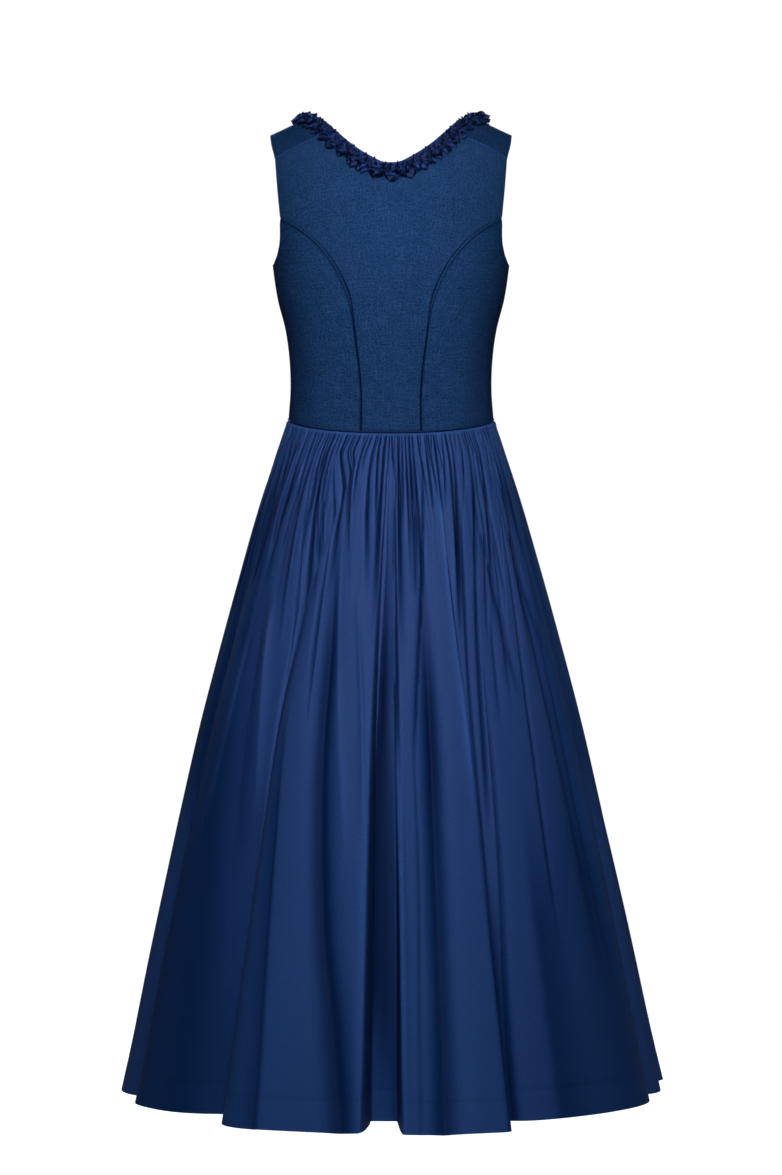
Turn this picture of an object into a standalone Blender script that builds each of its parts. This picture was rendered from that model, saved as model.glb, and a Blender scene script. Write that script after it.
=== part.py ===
"""Long sleeveless dirndl, hollow and standing open in its worn shape.

The bodice is cut from seven panels: one back, two curved side backs, two side fronts and two
fronts that meet at the centre. Each front runs on over the shoulder as a strap and is sewn to the
back behind the shoulder. A bound neck edge carries a gathered ruche, cords pipe the curved back
seams and the waist, and a long skirt of one back and two front widths is gathered in below.

Metres, +Z up. The front faces -Y, the wearer's left is +X, and the origin lies between the
shoulders, where the straps rest on the wearer. Heights in the tables count from the side waist.
"""

import math

import bmesh
import bpy
import numpy as np

# ---------------------------------------------------------------- driving dimensions
SHOULDER_HEIGHT = 0.400  # side waist up to the straps' resting level, the origin
HEM_DROP = 0.908  # side waist down to the level hem
BODICE_WALL = 0.0022  # firm woollen cloth
SKIRT_WALL = 0.0012  # smooth cotton satin
HEM_TURN = 0.040  # depth of the turned-up hem, where the wall is double
SEAM_GAP = 0.0003  # between neighbouring pieces
TRIM_LIFT = 0.0009  # of a cord's underside over the curve that the flat faces of a panel follow
CORD_WIDTH = 0.0030
CORD_HEIGHT = 0.0019
BAND_WIDTH = 0.0080
BAND_SWELL = 0.0004  # how far the folded band stands out from the panels on each face
RUCHE_WIDTH = 0.022
RUCHE_HEIGHT = 0.0080
RUCHE_LAP = 0.0040  # how far the ruche laps over the band
RUCHE_SCALLOP = 0.0022  # how far its edges wave in and out
WAIST_CORD_ROOM = 0.1  # share of a seam's first row that is left free for the waist cord

CHEST_LEVEL = 0.215  # above it the front rounds over to the shoulder
BLADE_LEVEL = 0.280  # above it the back rounds over to the shoulder
CHEST_REACH = 0.25  # length of cloth from each level to the top of the shoulder
BLADE_REACH = 0.19
SECTION_POWER = 2.2  # power of the level sections, a little boxier than an ellipse
BUST = {"rise": 0.037, "x": 0.080, "height": 0.176, "spread_x": 0.060, "spread_z": 0.066}
BUST_SIDE_FADE = 1.3  # how soon the fullness fades towards the side seam

# Level sections of the bodice: height, half width, depth behind and depth in front of the sides.
SECTIONS = np.array([
    (-0.026, 0.1406, 0.0880, 0.099),
    (0.000, 0.1394, 0.0870, 0.098),
    (0.040, 0.1367, 0.0880, 0.098),
    (0.081, 0.1380, 0.0930, 0.101),
    (0.122, 0.1435, 0.0990, 0.107),
    (0.163, 0.1540, 0.1050, 0.113),
    (0.204, 0.1603, 0.1100, 0.117),
    (0.240, 0.1640, 0.1120, 0.118),
    (0.280, 0.1700, 0.1125, 0.118),
    (0.350, 0.1820, 0.1125, 0.118),
    (0.440, 0.1920, 0.1125, 0.118),
])
# Top of the shoulder: distance from the middle, height.
RIDGE = np.array([
    (0.000, 0.438),
    (0.050, 0.429),
    (0.098, 0.412),
    (0.130, 0.402),
    (0.149, 0.3935),
    (0.164, 0.387),
    (0.192, 0.375),
])
# Cut edges of the panels as x, height. The neck band adds its width beyond the neck edges.
BACK_NECK = [(0.0000, 0.3285), (0.0110, 0.3296), (0.0333, 0.3403), (0.0595, 0.3590), (0.0822, 0.3812)]
SHOULDER_SEAM = [(0.0822, 0.3812), (0.1180, 0.3665), (0.1560, 0.3480)]
BACK_PRINCESS = [
    (0.0400, -0.0220),
    (0.0398, 0.0300),
    (0.0455, 0.0900),
    (0.0600, 0.1680),
    (0.0810, 0.2090),
    (0.1190, 0.2485),
    (0.1490, 0.2680),
]
BACK_ARMHOLE = [(0.1490, 0.2680), (0.1525, 0.3050), (0.1560, 0.3480)]
FRONT_PRINCESS = [
    (0.0560, -0.0240),
    (0.0600, 0.0500),
    (0.0740, 0.1200),
    (0.0900, 0.1740),
    (0.1150, 0.2230),
    (0.1430, 0.2560),
]
FRONT_ARMHOLE = [(0.1430, 0.2560), (0.1415, 0.2950), (0.1480, 0.3450), (0.1640, 0.3870)]
FRONT_NECK = [
    (0.0000, 0.2170),
    (0.0160, 0.2178),
    (0.0400, 0.2245),
    (0.0690, 0.2465),
    (0.0895, 0.2935),
    (0.1020, 0.3540),
    (0.1100, 0.4090),
]
# Behind the ridge, down to the shoulder seam.
STRAP_NECK_SIDE = [(0.1100, 0.4090), (0.0985, 0.3990), (0.0822, 0.3812)]
STRAP_ARM_SIDE = [(0.1640, 0.3870), (0.1620, 0.3720), (0.1560, 0.3480)]
# Underarm curves as degrees round from the centre back, height.
BACK_UNDERARM = [(61.4, 0.2680), (64.6, 0.2400), (68.5, 0.2250), (76.0, 0.2130), (90.0, 0.2080)]
FRONT_UNDERARM = [(90.0, 0.2080), (103.0, 0.2120), (111.0, 0.2280), (118.7, 0.2560)]
UNDERARM_HEIGHT = 0.208
WAIST_DIP = 0.0223  # centre back and centre front lie this much below the side waist
WAIST_DIP_POWER = 1.15
WAIST_TUCK = 0.0003  # how far the skirt's top lies inside the bodice's face

# Round-topped section of a cord: share of its width, share of its height.
CORD_SECTION = [(-0.5, 0.0), (-0.42, 0.7), (0.0, 1.0), (0.42, 0.7), (0.5, 0.0)]
# Section of the ruche: share of its width, share of its height, and share of the waving that this
# corner takes, from the upper edge round the lower edge and back over the top.
RUCHE_SECTION = [
    (0.0, 0.15, -0.5),
    (1.0, 0.15, 1.0),
    (0.9, 0.55, 1.0),
    (0.5, 1.00, 0.0),
    (0.0, 0.65, -1.0),
]

# Skirt sections: share of the way down, half width in the valleys between folds.
FLARE = np.array([
    (0.00, 0.1392),
    (0.03, 0.1485),
    (0.06, 0.1572),
    (0.12, 0.1742),
    (0.21, 0.1972),
    (0.33, 0.2252),
    (0.45, 0.2512),
    (0.57, 0.2737),
    (0.69, 0.2947),
    (0.81, 0.3147),
    (0.93, 0.3337),
    (1.00, 0.3460),
])
HEM_DEPTH = 0.267  # half depth of the hem in the valleys between folds
# The largest folds: where each starts and ends on the hem and at the waist, in degrees round from
# the centre back, how far it stands out at the hem, and how steep its two sides are.
FOLD_COLUMNS = ("hem_from", "hem_to", "waist_from", "waist_to", "rise", "steep_from", "steep_to")
FOLDS = [
    (-76.0, -20.6, -70.0, -21.5, 0.034, 4.0, 8.0),
    (-20.2, -1.3, -20.9, -1.5, 0.101, 8.0, 9.0),
    (4.0, 35.0, 0.5, 11.0, 0.090, 9.0, 3.4),
    (36.5, 71.0, 12.0, 60.0, 0.034, 2.6, 4.0),
    (73.0, 105.0, 63.0, 102.0, 0.020, 3.0, 3.0),
    (106.0, 132.0, 104.0, 128.0, 0.044, 4.0, 5.0),
    (135.0, 148.0, 130.0, 144.0, 0.026, 3.0, 3.0),
    (150.0, 173.0, 146.0, 174.0, 0.078, 6.0, 8.0),
    (180.0, 206.0, 180.0, 209.0, 0.066, 3.0, 7.0),
    (209.0, 238.0, 212.0, 236.0, 0.032, 3.0, 4.0),
    (240.0, 262.0, 238.0, 264.0, 0.044, 6.0, 4.0),
    (264.0, 284.0, 266.0, 290.0, 0.020, 3.0, 3.0),
]
FOLD_EDGE = 1.5  # power that rounds the crest of a fold
FOLD_GROWTH = 1.25  # power of the rise from the waist to the hem
FOLD_SWING = 1.6  # how much sooner than it flares the cloth turns to its place on the hem
GATHER_DEPTH = 0.0016  # of the coarse gathers at the waist
GATHER_START, GATHER_END = 0.03, 0.16  # shares of the way down

# Faces along each stretch of a panel's edge.
SEAM_ROWS = 9
ARMHOLE_ROWS = 6
FRONT_ARMHOLE_ROWS = 12
STRAP_END_ROWS = 5  # of the strap behind the ridge
CENTRE_FRONT_ROWS = 6
NECK_COLUMNS = 6
SEAM_COLUMNS = 4
SIDE_COLUMNS = 6
CENTRE_BACK_CROWDING = 0.8  # below 1, the rows of the back draw together towards the neck
WAIST_STEPS = 24  # of the cord, along each half of the waist
SKIRT_COLUMNS = 42  # across the back width, and across both fronts together
SKIRT_ROWS = np.array([0.0, 0.03, 0.075, 0.135, 0.22, 0.34, 0.48, 0.63, 0.78, 0.90])
HEM_STEP = 0.002  # share of the way down over which the wall doubles

NAVY_WOOL = (0.013, 0.036, 0.095, 1.0)
NAVY_SATIN = (0.020, 0.043, 0.118, 1.0)
NAVY_TRIM = (0.012, 0.018, 0.060, 1.0)


# ---------------------------------------------------------------- curves and surfaces
def smooth(knots, values, at):
    """The smooth curve through values at knots, read at the places `at`."""
    knots, values = np.asarray(knots, float), np.asarray(values, float)
    at = np.clip(np.asarray(at, float), knots[0], knots[-1])
    slopes = np.gradient(values, knots, axis=0)
    i = np.clip(np.searchsorted(knots, at, side="right") - 1, 0, len(knots) - 2)
    span = knots[i + 1] - knots[i]
    s = (at - knots[i]) / span
    if values.ndim > 1:
        span, s = span[..., None], s[..., None]
    return (
        values[i] * (1 + 2 * s) * (1 - s) ** 2
        + slopes[i] * span * s * (1 - s) ** 2
        + values[i + 1] * s * s * (3 - 2 * s)
        + slopes[i + 1] * span * s * s * (s - 1)
    )


def sampled(points, steps):
    """steps + 1 points, evenly spaced along the smooth curve through the given points."""
    points = np.asarray(points, float)
    lengths = np.linalg.norm(np.diff(points, axis=0) / np.ptp(points, axis=0).max(), axis=1)
    knots = np.concatenate([[0.0], np.cumsum(lengths)])
    return smooth(knots, points, np.linspace(0.0, knots[-1], steps + 1))


def joined(*stretches):
    """One run of points from several that share their end points."""
    return np.concatenate([stretches[0], *[s[1:] for s in stretches[1:]]])


def half_width(z):
    return smooth(SECTIONS[:, 0], SECTIONS[:, 1], z)


def ridge(x):
    return smooth(RIDGE[:, 0], RIDGE[:, 1], np.abs(x))


def section_share(x, z):
    """How much of the full depth a level section keeps at x: 1 in the middle, 0 at the side."""
    share = np.clip(np.abs(x) / half_width(z), 0.0, 1.0) ** SECTION_POWER
    return (1.0 - share) ** (1.0 / SECTION_POWER)


def back_depth(x, z):
    return smooth(SECTIONS[:, 0], SECTIONS[:, 2], z) * section_share(x, z)


def front_depth(x, z):
    """Depth of the front below the chest's rounding, with the fullness cut over the bust."""
    share = section_share(x, z)
    over = (np.abs(x) - BUST["x"]) / BUST["spread_x"]
    up = (z - BUST["height"]) / BUST["spread_z"]
    fullness = BUST["rise"] * np.exp(-(over**2) - up**2)
    fullness *= np.minimum(1.0, BUST_SIDE_FADE * share)
    return smooth(SECTIONS[:, 0], SECTIONS[:, 3], z) * share + fullness


def fall(x, z, level):
    """Share of the depth left at height z, where a side rounds over from level to the ridge."""
    up = np.clip((z - level) / (ridge(x) - level), 0.0, 1.0)
    return np.sqrt(1.0 - up**2)


SIDES_OF_SHOULDER = {
    False: (CHEST_LEVEL, CHEST_REACH, front_depth),
    True: (BLADE_LEVEL, BLADE_REACH, back_depth),
}


def profile_place(x, z, behind):
    """Place on the profile over the shoulder: below -1 the front, 0 the ridge, above 1 the back."""
    x, z = np.asarray(x, float), np.asarray(z, float)
    level, reach = SIDES_OF_SHOULDER[behind][:2]
    up = np.clip((z - level) / (ridge(x) - level), 0.0, 1.0)
    place = np.where(z > level, 1.0 - 2.0 / math.pi * np.arcsin(up), 1.0 + (level - z) / reach)
    return place if behind else -place


def over_shoulder(x, place):
    """Point of the bodice at x, at a place on the profile."""
    x, place = np.broadcast_arrays(np.asarray(x, float), np.asarray(place, float))
    point = np.empty(x.shape + (3,))
    for behind in (False, True):
        here = (place >= 0) if behind else (place < 0)
        level, reach, depth = SIDES_OF_SHOULDER[behind]
        across, along = x[here], np.abs(place[here])
        turn = np.clip(1.0 - along, 0.0, 1.0) * math.pi / 2.0
        rounded = level + (ridge(across) - level) * np.sin(turn)
        z = np.where(along < 1.0, rounded, level - (along - 1.0) * reach)
        y = depth(across, z) * np.cos(turn)
        point[here] = np.stack([across, y if behind else -y, z], axis=-1)
    return point


def round_side(degrees, z):
    """Point of the bodice at an angle round from the centre back, on the wearer's left."""
    degrees, z = np.broadcast_arrays(np.asarray(degrees, float), np.asarray(z, float))
    angle = np.radians(degrees)
    x = half_width(z) * np.sign(np.sin(angle)) * np.abs(np.sin(angle)) ** (2.0 / SECTION_POWER)
    behind = back_depth(x, z) * fall(x, z, BLADE_LEVEL)
    before = -front_depth(x, z) * fall(x, z, CHEST_LEVEL)
    return np.stack([x, np.where(degrees <= 90.0, behind, before), z], axis=-1)


def angle_at(x, z, behind):
    """Degrees round from the centre back of a point that is given by x and height."""
    share = np.clip(np.asarray(x) / half_width(z), 0.0, 1.0)
    turn = np.degrees(np.arcsin(share ** (SECTION_POWER / 2.0)))
    return turn if behind else 180.0 - turn


def normals(surface, first, second):
    """Outward unit normals of a surface, and its two tangents."""
    step = {over_shoulder: 1e-5, round_side: 1e-3}[surface]  # metres of x, or degrees
    rise = 1e-5
    along_first = (surface(first + step, second) - surface(first - step, second)) / (2 * step)
    along_second = (surface(first, second + rise) - surface(first, second - rise)) / (2 * rise)
    outward = np.cross(along_first, along_second) * (1.0 if surface is over_shoulder else -1.0)
    outward /= np.linalg.norm(outward, axis=-1, keepdims=True)
    return outward, along_first, along_second


def waist_height(degrees):
    """The waist seam dips at the centre back and the centre front."""
    return -WAIST_DIP * np.abs(np.cos(np.radians(degrees))) ** WAIST_DIP_POWER


# ---------------------------------------------------------------- solids from grids
def place_in_world(points):
    """Heights in the tables count from the side waist; the origin is at the shoulders."""
    return points - np.array([0.0, 0.0, SHOULDER_HEIGHT])


def make_object(name, points, faces, material):
    mesh = bpy.data.meshes.new(name)
    mesh.from_pydata(points.tolist(), [], faces)
    shape = bmesh.new()
    shape.from_mesh(mesh)
    bmesh.ops.recalc_face_normals(shape, faces=shape.faces)
    shape.to_mesh(mesh)
    shape.free()
    mesh.shade_smooth()
    mesh.set_sharp_from_angle(angle=math.radians(40))
    mesh.materials.append(material)
    made = bpy.data.objects.new(name, mesh)
    bpy.context.scene.collection.objects.link(made)
    return made


def eased(grid):
    """The grid with each edge drawn in by half a seam gap, so that neighbours don't touch."""
    grid = grid.copy()
    for rows, inner in ((np.s_[0], np.s_[1]), (np.s_[-1], np.s_[-2])):
        for turned in (grid, grid.swapaxes(0, 1)):
            inward = turned[inner] - turned[rows]
            inward /= np.linalg.norm(inward, axis=-1, keepdims=True)
            turned[rows] += inward * SEAM_GAP / 2.0
    return grid


def wall(name, outside, outward, thickness, material):
    """A panel of cloth: a closed wall behind a grid of points on its outer face."""
    outside = eased(outside)
    inside = outside - outward * np.broadcast_to(thickness, outside.shape[:2])[..., None]
    rows, columns = outside.shape[:2]
    points = np.concatenate([outside.reshape(-1, 3), inside.reshape(-1, 3)])
    index = np.arange(rows * columns).reshape(rows, columns)
    back = index + rows * columns
    faces = []
    for r in range(rows - 1):
        for c in range(columns - 1):
            faces.append([index[r, c], index[r, c + 1], index[r + 1, c + 1], index[r + 1, c]])
            faces.append([back[r, c], back[r + 1, c], back[r + 1, c + 1], back[r, c + 1]])
    rim = np.concatenate([index[0, :-1], index[:-1, -1], index[-1, :0:-1], index[:0:-1, 0]])
    rim_behind = rim + rows * columns
    for k in range(len(rim)):
        after = (k + 1) % len(rim)
        faces.append([rim[k], rim_behind[k], rim_behind[after], rim[after]])
    return make_object(name, place_in_world(points), [[int(i) for i in f] for f in faces], material)


def strip(name, stations, material):
    """A trim: a closed bar through its sections, one row of points for each station."""
    count, around = stations.shape[:2]
    index = np.arange(count * around).reshape(count, around)
    faces = [index[0, ::-1].tolist(), index[-1].tolist()]
    for k in range(count - 1):
        for j in range(around):
            after = (j + 1) % around
            side = (index[k, j], index[k, after], index[k + 1, after], index[k + 1, j])
            faces.append([int(i) for i in side])
    return make_object(name, place_in_world(stations.reshape(-1, 3)), faces, material)


def mirrored(points):
    return points * np.array([-1.0, 1.0, 1.0])


def patch(bottom, top, first_side, last_side):
    """A grid of places filled in between four edges that meet at their corners."""
    across = np.linspace(0.0, 1.0, len(bottom))[None, :, None]
    up = np.linspace(0.0, 1.0, len(first_side))[:, None, None]
    corners = (
        (1 - across) * (1 - up) * bottom[0]
        + across * (1 - up) * bottom[-1]
        + (1 - across) * up * top[0]
        + across * up * top[-1]
    )
    between_sides = (1 - across) * first_side[:, None] + across * last_side[:, None]
    between_ends = (1 - up) * bottom[None] + up * top[None]
    return between_sides + between_ends - corners


def on_profile(points, behind):
    """x and height turned into x and place on the profile."""
    points = np.asarray(points, float)
    return np.stack([points[:, 0], profile_place(points[:, 0], points[:, 1], behind)], axis=-1)


def as_angles(points, behind):
    """x and height turned into degrees round and height."""
    points = np.asarray(points, float)
    return np.stack([angle_at(points[:, 0], points[:, 1], behind), points[:, 1]], axis=-1)


def waist_edge(angle_from, angle_to, steps):
    """Degrees and heights along the waist seam."""
    degrees = np.linspace(angle_from, angle_to, steps + 1)
    return np.stack([degrees, waist_height(degrees)], axis=-1)


def waist_as_x(edge):
    points = round_side(edge[:, 0], edge[:, 1])
    return points[:, [0, 2]]


def from_waist(seam, behind):
    """The points of a seam, with the lowest brought onto the waist seam."""
    x, height = seam[0]
    return [(x, float(waist_height(angle_at(x, height, behind)))), *seam[1:]]


def panel(name, places, surface, material, both_halves=False, sides=("",)):
    """One bodice panel from its places on a surface, or a mirrored pair of them."""
    outside = surface(places[..., 0], places[..., 1])
    outward = normals(surface, places[..., 0], places[..., 1])[0]
    if both_halves:
        outward[:, 0, 0] = 0.0
        outside = np.concatenate([mirrored(outside)[:, :0:-1], outside], axis=1)
        outward = np.concatenate([mirrored(outward)[:, :0:-1], outward], axis=1)
    for side in sides:
        turn = mirrored if side == "_right" else np.array
        wall(name + side, turn(outside), turn(outward), BODICE_WALL, material)


# ---------------------------------------------------------------- bodice panels
def front_neck_edge():
    """Places along the neck edge of a front, up over the shoulder to the shoulder seam."""
    front_rows = SEAM_ROWS + FRONT_ARMHOLE_ROWS - CENTRE_FRONT_ROWS
    front = on_profile(sampled(FRONT_NECK, front_rows), False)
    strap = on_profile(sampled(STRAP_NECK_SIDE, STRAP_END_ROWS), True)
    return joined(front, strap)


def back_neck_edge():
    """Places along the left half of the back's neck edge, from its middle outwards."""
    return on_profile(sampled(BACK_NECK, NECK_COLUMNS), True)


def back_panel(wool):
    """The back: one piece between the two curved seams, up to the neck and the shoulder seams."""
    princess = on_profile(sampled(from_waist(BACK_PRINCESS, True), SEAM_ROWS), True)
    armhole = on_profile(sampled(BACK_ARMHOLE, ARMHOLE_ROWS), True)
    outer = joined(princess, armhole)
    shoulder = on_profile(sampled(SHOULDER_SEAM, SEAM_COLUMNS), True)
    top = joined(back_neck_edge(), shoulder)
    side_angle = angle_at(BACK_PRINCESS[0][0], BACK_PRINCESS[0][1], True)
    bottom = on_profile(waist_as_x(waist_edge(0.0, side_angle, NECK_COLUMNS + SEAM_COLUMNS)), True)
    up = np.linspace(0.0, 1.0, len(outer))[:, None] ** CENTRE_BACK_CROWDING
    centre = bottom[0] + (top[0] - bottom[0]) * up
    bottom[-1] = outer[0]
    panel("bodice_back", patch(bottom, top, centre, outer), over_shoulder, wool, both_halves=True)


def side_back_panels(wool):
    """Side backs: under the curved seam, from the waist to the armhole and round to the side."""
    inner = as_angles(sampled(from_waist(BACK_PRINCESS, True), SEAM_ROWS), True)
    outer = np.linspace((90.0, 0.0), (90.0, UNDERARM_HEIGHT), SEAM_ROWS + 1)
    top = sampled(BACK_UNDERARM, SIDE_COLUMNS)
    top[0] = inner[-1]
    bottom = waist_edge(inner[0, 0], 90.0, SIDE_COLUMNS)
    bottom[0] = inner[0]
    places = patch(bottom, top, inner, outer)
    panel("bodice_side_back", places, round_side, wool, sides=("_left", "_right"))


def side_front_panels(wool):
    """Side fronts: from the side seam round under the bust to the front seam."""
    inner = np.linspace((90.0, 0.0), (90.0, UNDERARM_HEIGHT), SEAM_ROWS + 1)
    outer = as_angles(sampled(from_waist(FRONT_PRINCESS, False), SEAM_ROWS), False)
    top = sampled(FRONT_UNDERARM, SIDE_COLUMNS)
    top[-1] = outer[-1]
    bottom = waist_edge(90.0, outer[0, 0], SIDE_COLUMNS)
    bottom[-1] = outer[0]
    places = patch(bottom, top, inner, outer)
    panel("bodice_side_front", places, round_side, wool, sides=("_left", "_right"))


def front_panels(wool):
    """Fronts: they meet at the centre, and each runs up and over the shoulder as its strap."""
    princess = on_profile(sampled(from_waist(FRONT_PRINCESS, False), SEAM_ROWS), False)
    armhole = on_profile(sampled(FRONT_ARMHOLE, FRONT_ARMHOLE_ROWS), False)
    strap_arm = on_profile(sampled(STRAP_ARM_SIDE, STRAP_END_ROWS), True)
    outer = joined(princess, armhole, strap_arm)
    waist_centre = (0.0, float(waist_height(180.0)))
    centre = on_profile(np.linspace(waist_centre, FRONT_NECK[0], CENTRE_FRONT_ROWS + 1), False)
    inner = joined(centre, front_neck_edge())
    top = on_profile(sampled(SHOULDER_SEAM, SEAM_COLUMNS), True)
    side_angle = angle_at(FRONT_PRINCESS[0][0], FRONT_PRINCESS[0][1], False)
    bottom = on_profile(waist_as_x(waist_edge(180.0, side_angle, SEAM_COLUMNS)), False)
    bottom[-1], bottom[0] = outer[0], inner[0]
    places = patch(bottom, top, inner, outer)
    panel("bodice_front", places, over_shoulder, wool, sides=("_left", "_right"))


# ---------------------------------------------------------------- trims
def beside_path(path, into, lift):
    """Points beside a path on the bodice: so far into the cloth, and so far above its face."""
    into = np.broadcast_to(into, len(path))[:, None]
    outward, along_x, along_place = normals(over_shoulder, path[:, 0], path[:, 1])
    here = over_shoulder(path[:, 0], path[:, 1])
    ahead = np.gradient(here, axis=0)
    ahead /= np.linalg.norm(ahead, axis=-1, keepdims=True)
    across = np.cross(ahead, outward)
    slopes = np.stack([along_x, along_place], axis=-1)
    step = np.einsum("kij,kj->ki", np.linalg.pinv(slopes), across)
    moved = path + step * into
    outward = normals(over_shoulder, moved[:, 0], moved[:, 1])[0]
    return over_shoulder(moved[:, 0], moved[:, 1]) + outward * lift


def neck_path():
    """The left half of the neck edge, from the centre front over the shoulder to the back."""
    path = joined(front_neck_edge(), back_neck_edge()[::-1])
    path[0, 0] = SEAM_GAP
    return path


def neck_trim(name, section, material):
    """A strip all round the neck. Each corner of its section lies so far into the cloth and so far
    above its face, and waves from station to station."""
    path = neck_path()
    turns = (-1.0) ** np.arange(len(path))
    left = np.stack([beside_path(path, into + wave * turns, lift) for into, lift, wave in section], axis=1)
    left[-1, :, 0] = 0.0
    strip(name, np.concatenate([left, mirrored(left)[-2::-1]]), material)


def neck_band(trim):
    """A folded bias band that finishes the neck, sewn edge to edge to the panels."""
    near, far = -SEAM_GAP, -BAND_WIDTH
    outside, inside = BAND_SWELL, -(BODICE_WALL + BAND_SWELL)
    section = [(near, inside, 0.0), (near, outside, 0.0), (far, outside, 0.0), (far, inside, 0.0)]
    neck_trim("neck_band", section, trim)


def neck_ruche(trim):
    """The gathered ruche: a strip with waving edges, sewn on over the seam of the band."""
    section = [
        (across * RUCHE_WIDTH - RUCHE_LAP, up * RUCHE_HEIGHT, wave * RUCHE_SCALLOP)
        for across, up, wave in RUCHE_SECTION
    ]
    neck_trim("neck_ruche", section, trim)


def back_seam_pipings(wool):
    """Fine cords let into the two curved back seams, from the waist to the armholes."""
    path = on_profile(sampled(from_waist(BACK_PRINCESS, True), SEAM_ROWS), True)
    path[0] += (path[1] - path[0]) * WAIST_CORD_ROOM
    corners = [
        beside_path(path, across * CORD_WIDTH, TRIM_LIFT + up * CORD_HEIGHT)
        for across, up in CORD_SECTION
    ]
    stations = np.stack(corners, axis=1)
    strip("back_piping_left", stations, wool)
    strip("back_piping_right", mirrored(stations), wool)


def waist_piping(satin):
    """A fine cord round the waist seam, open where the fronts meet."""
    gap_angle = math.degrees(SEAM_GAP / SECTIONS[1, 1])
    degrees = np.linspace(180.0 - gap_angle, 0.0, WAIST_STEPS + 1)
    height = waist_height(degrees)
    corners = []
    for across, up in CORD_SECTION:
        z = height + (across + 0.5) * CORD_WIDTH
        outward = normals(round_side, degrees, z)[0]
        corners.append(round_side(degrees, z) + outward * (TRIM_LIFT + up * CORD_HEIGHT))
    left = np.stack(corners, axis=1)
    left[-1, :, 0] = 0.0
    strip("waist_piping", np.concatenate([left, mirrored(left)[-2::-1]]), satin)


# ---------------------------------------------------------------- skirt
def fold_rows():
    return [dict(zip(FOLD_COLUMNS, row)) for row in FOLDS]


def waist_turn(hem_degrees):
    """Where on the waist a line of cloth starts that ends at these degrees on the hem."""
    hem, turn = [], []
    for fold in fold_rows():
        hem += [fold["hem_from"], fold["hem_to"]]
        turn += [fold["waist_from"] - fold["hem_from"], fold["waist_to"] - fold["hem_to"]]
    return hem_degrees + np.interp(hem_degrees, hem, turn, period=360.0)


def skirt_surface(hem_degrees, down):
    """Point of the skirt on the line of cloth that ends at hem_degrees, a share of the way down."""
    hem_degrees, down = np.broadcast_arrays(np.asarray(hem_degrees, float), np.asarray(down, float))
    rise = np.zeros(hem_degrees.shape)
    for fold in fold_rows():
        for lap in (0.0, -360.0, 360.0):
            middle = 0.5 * (fold["hem_from"] + fold["hem_to"]) + lap
            half = 0.5 * (fold["hem_to"] - fold["hem_from"])
            off = np.clip((hem_degrees - middle) / half, -1.0, 1.0)
            steep = np.where(off < 0.0, fold["steep_from"], fold["steep_to"])
            rise += fold["rise"] * (1.0 - np.abs(off) ** steep) ** FOLD_EDGE
    start = waist_turn(hem_degrees)
    at_side = smooth(FLARE[:, 0], FLARE[:, 1], down)
    opened = (at_side - FLARE[0, 1]) / (FLARE[-1, 1] - FLARE[0, 1])
    swing = np.clip(FOLD_SWING * opened, 0.0, 1.0)
    degrees = start + (hem_degrees - start) * swing * (2.0 - swing)
    angle = np.radians(degrees)
    waist_level = waist_height(degrees)
    waist_depth = np.where(
        np.cos(angle) > 0,
        smooth(SECTIONS[:, 0], SECTIONS[:, 2], waist_level),
        smooth(SECTIONS[:, 0], SECTIONS[:, 3], waist_level),
    )
    depth = (waist_depth - WAIST_TUCK) * (1.0 - opened) + HEM_DEPTH * opened
    power = 2.0 / (SECTION_POWER + (2.0 - SECTION_POWER) * opened)
    sine, cosine = np.sin(angle), np.cos(angle)
    x = at_side * np.sign(sine) * np.abs(sine) ** power
    y = depth * np.sign(cosine) * np.abs(cosine) ** power
    out = 1.0 + rise * down**FOLD_GROWTH / np.hypot(x, y)
    top = waist_level - SEAM_GAP
    z = top + (-HEM_DROP - top) * down
    return np.stack([x * out, y * out, z], axis=-1)


def skirt_normals(degrees, down):
    """Outward unit normals of the skirt."""
    turn, drop = 0.05, 0.001  # degrees, share of the way down
    along = skirt_surface(degrees + turn, down) - skirt_surface(degrees - turn, down)
    lower = skirt_surface(degrees, np.clip(down + drop, 0.0, 1.0))
    upper = skirt_surface(degrees, np.clip(down - drop, 0.0, 1.0))
    outward = np.cross(upper - lower, along)
    return outward / np.linalg.norm(outward, axis=-1, keepdims=True)


def skirt_columns():
    """Hem degrees of the columns: spaced by the length of cloth at the hem and at the waist."""
    dense = np.linspace(-90.0, 270.0, 3601)
    at_hem, at_waist = skirt_surface(dense, 1.0), skirt_surface(dense, GATHER_START)
    steps = [np.linalg.norm(np.diff(edge, axis=0), axis=1) for edge in (at_hem, at_waist)]
    length = np.concatenate([[0.0], np.cumsum(steps[0] / steps[0].sum() + steps[1] / steps[1].sum())])
    columns = []
    for start, end in ((-90.0, 90.0), (90.0, 180.0), (180.0, 270.0)):
        count = SKIRT_COLUMNS if end - start > 90.0 else SKIRT_COLUMNS // 2
        reach = np.interp([start, end], dense, length)
        columns.append(np.interp(np.linspace(reach[0], reach[1], count + 1), length, dense))
    return columns


def gathered(points, outward, degrees, rows):
    """Coarse gathers: every second column stands out near the waist."""
    wave = np.where(np.arange(len(degrees)) % 2 == 0, -1.0, 1.0)
    fade = np.clip(rows / GATHER_START, 0.0, 1.0) * np.clip(1.0 - rows / GATHER_END, 0.0, 1.0)
    return points + outward * (GATHER_DEPTH * wave[None, :] * fade[:, None])[..., None]


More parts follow.
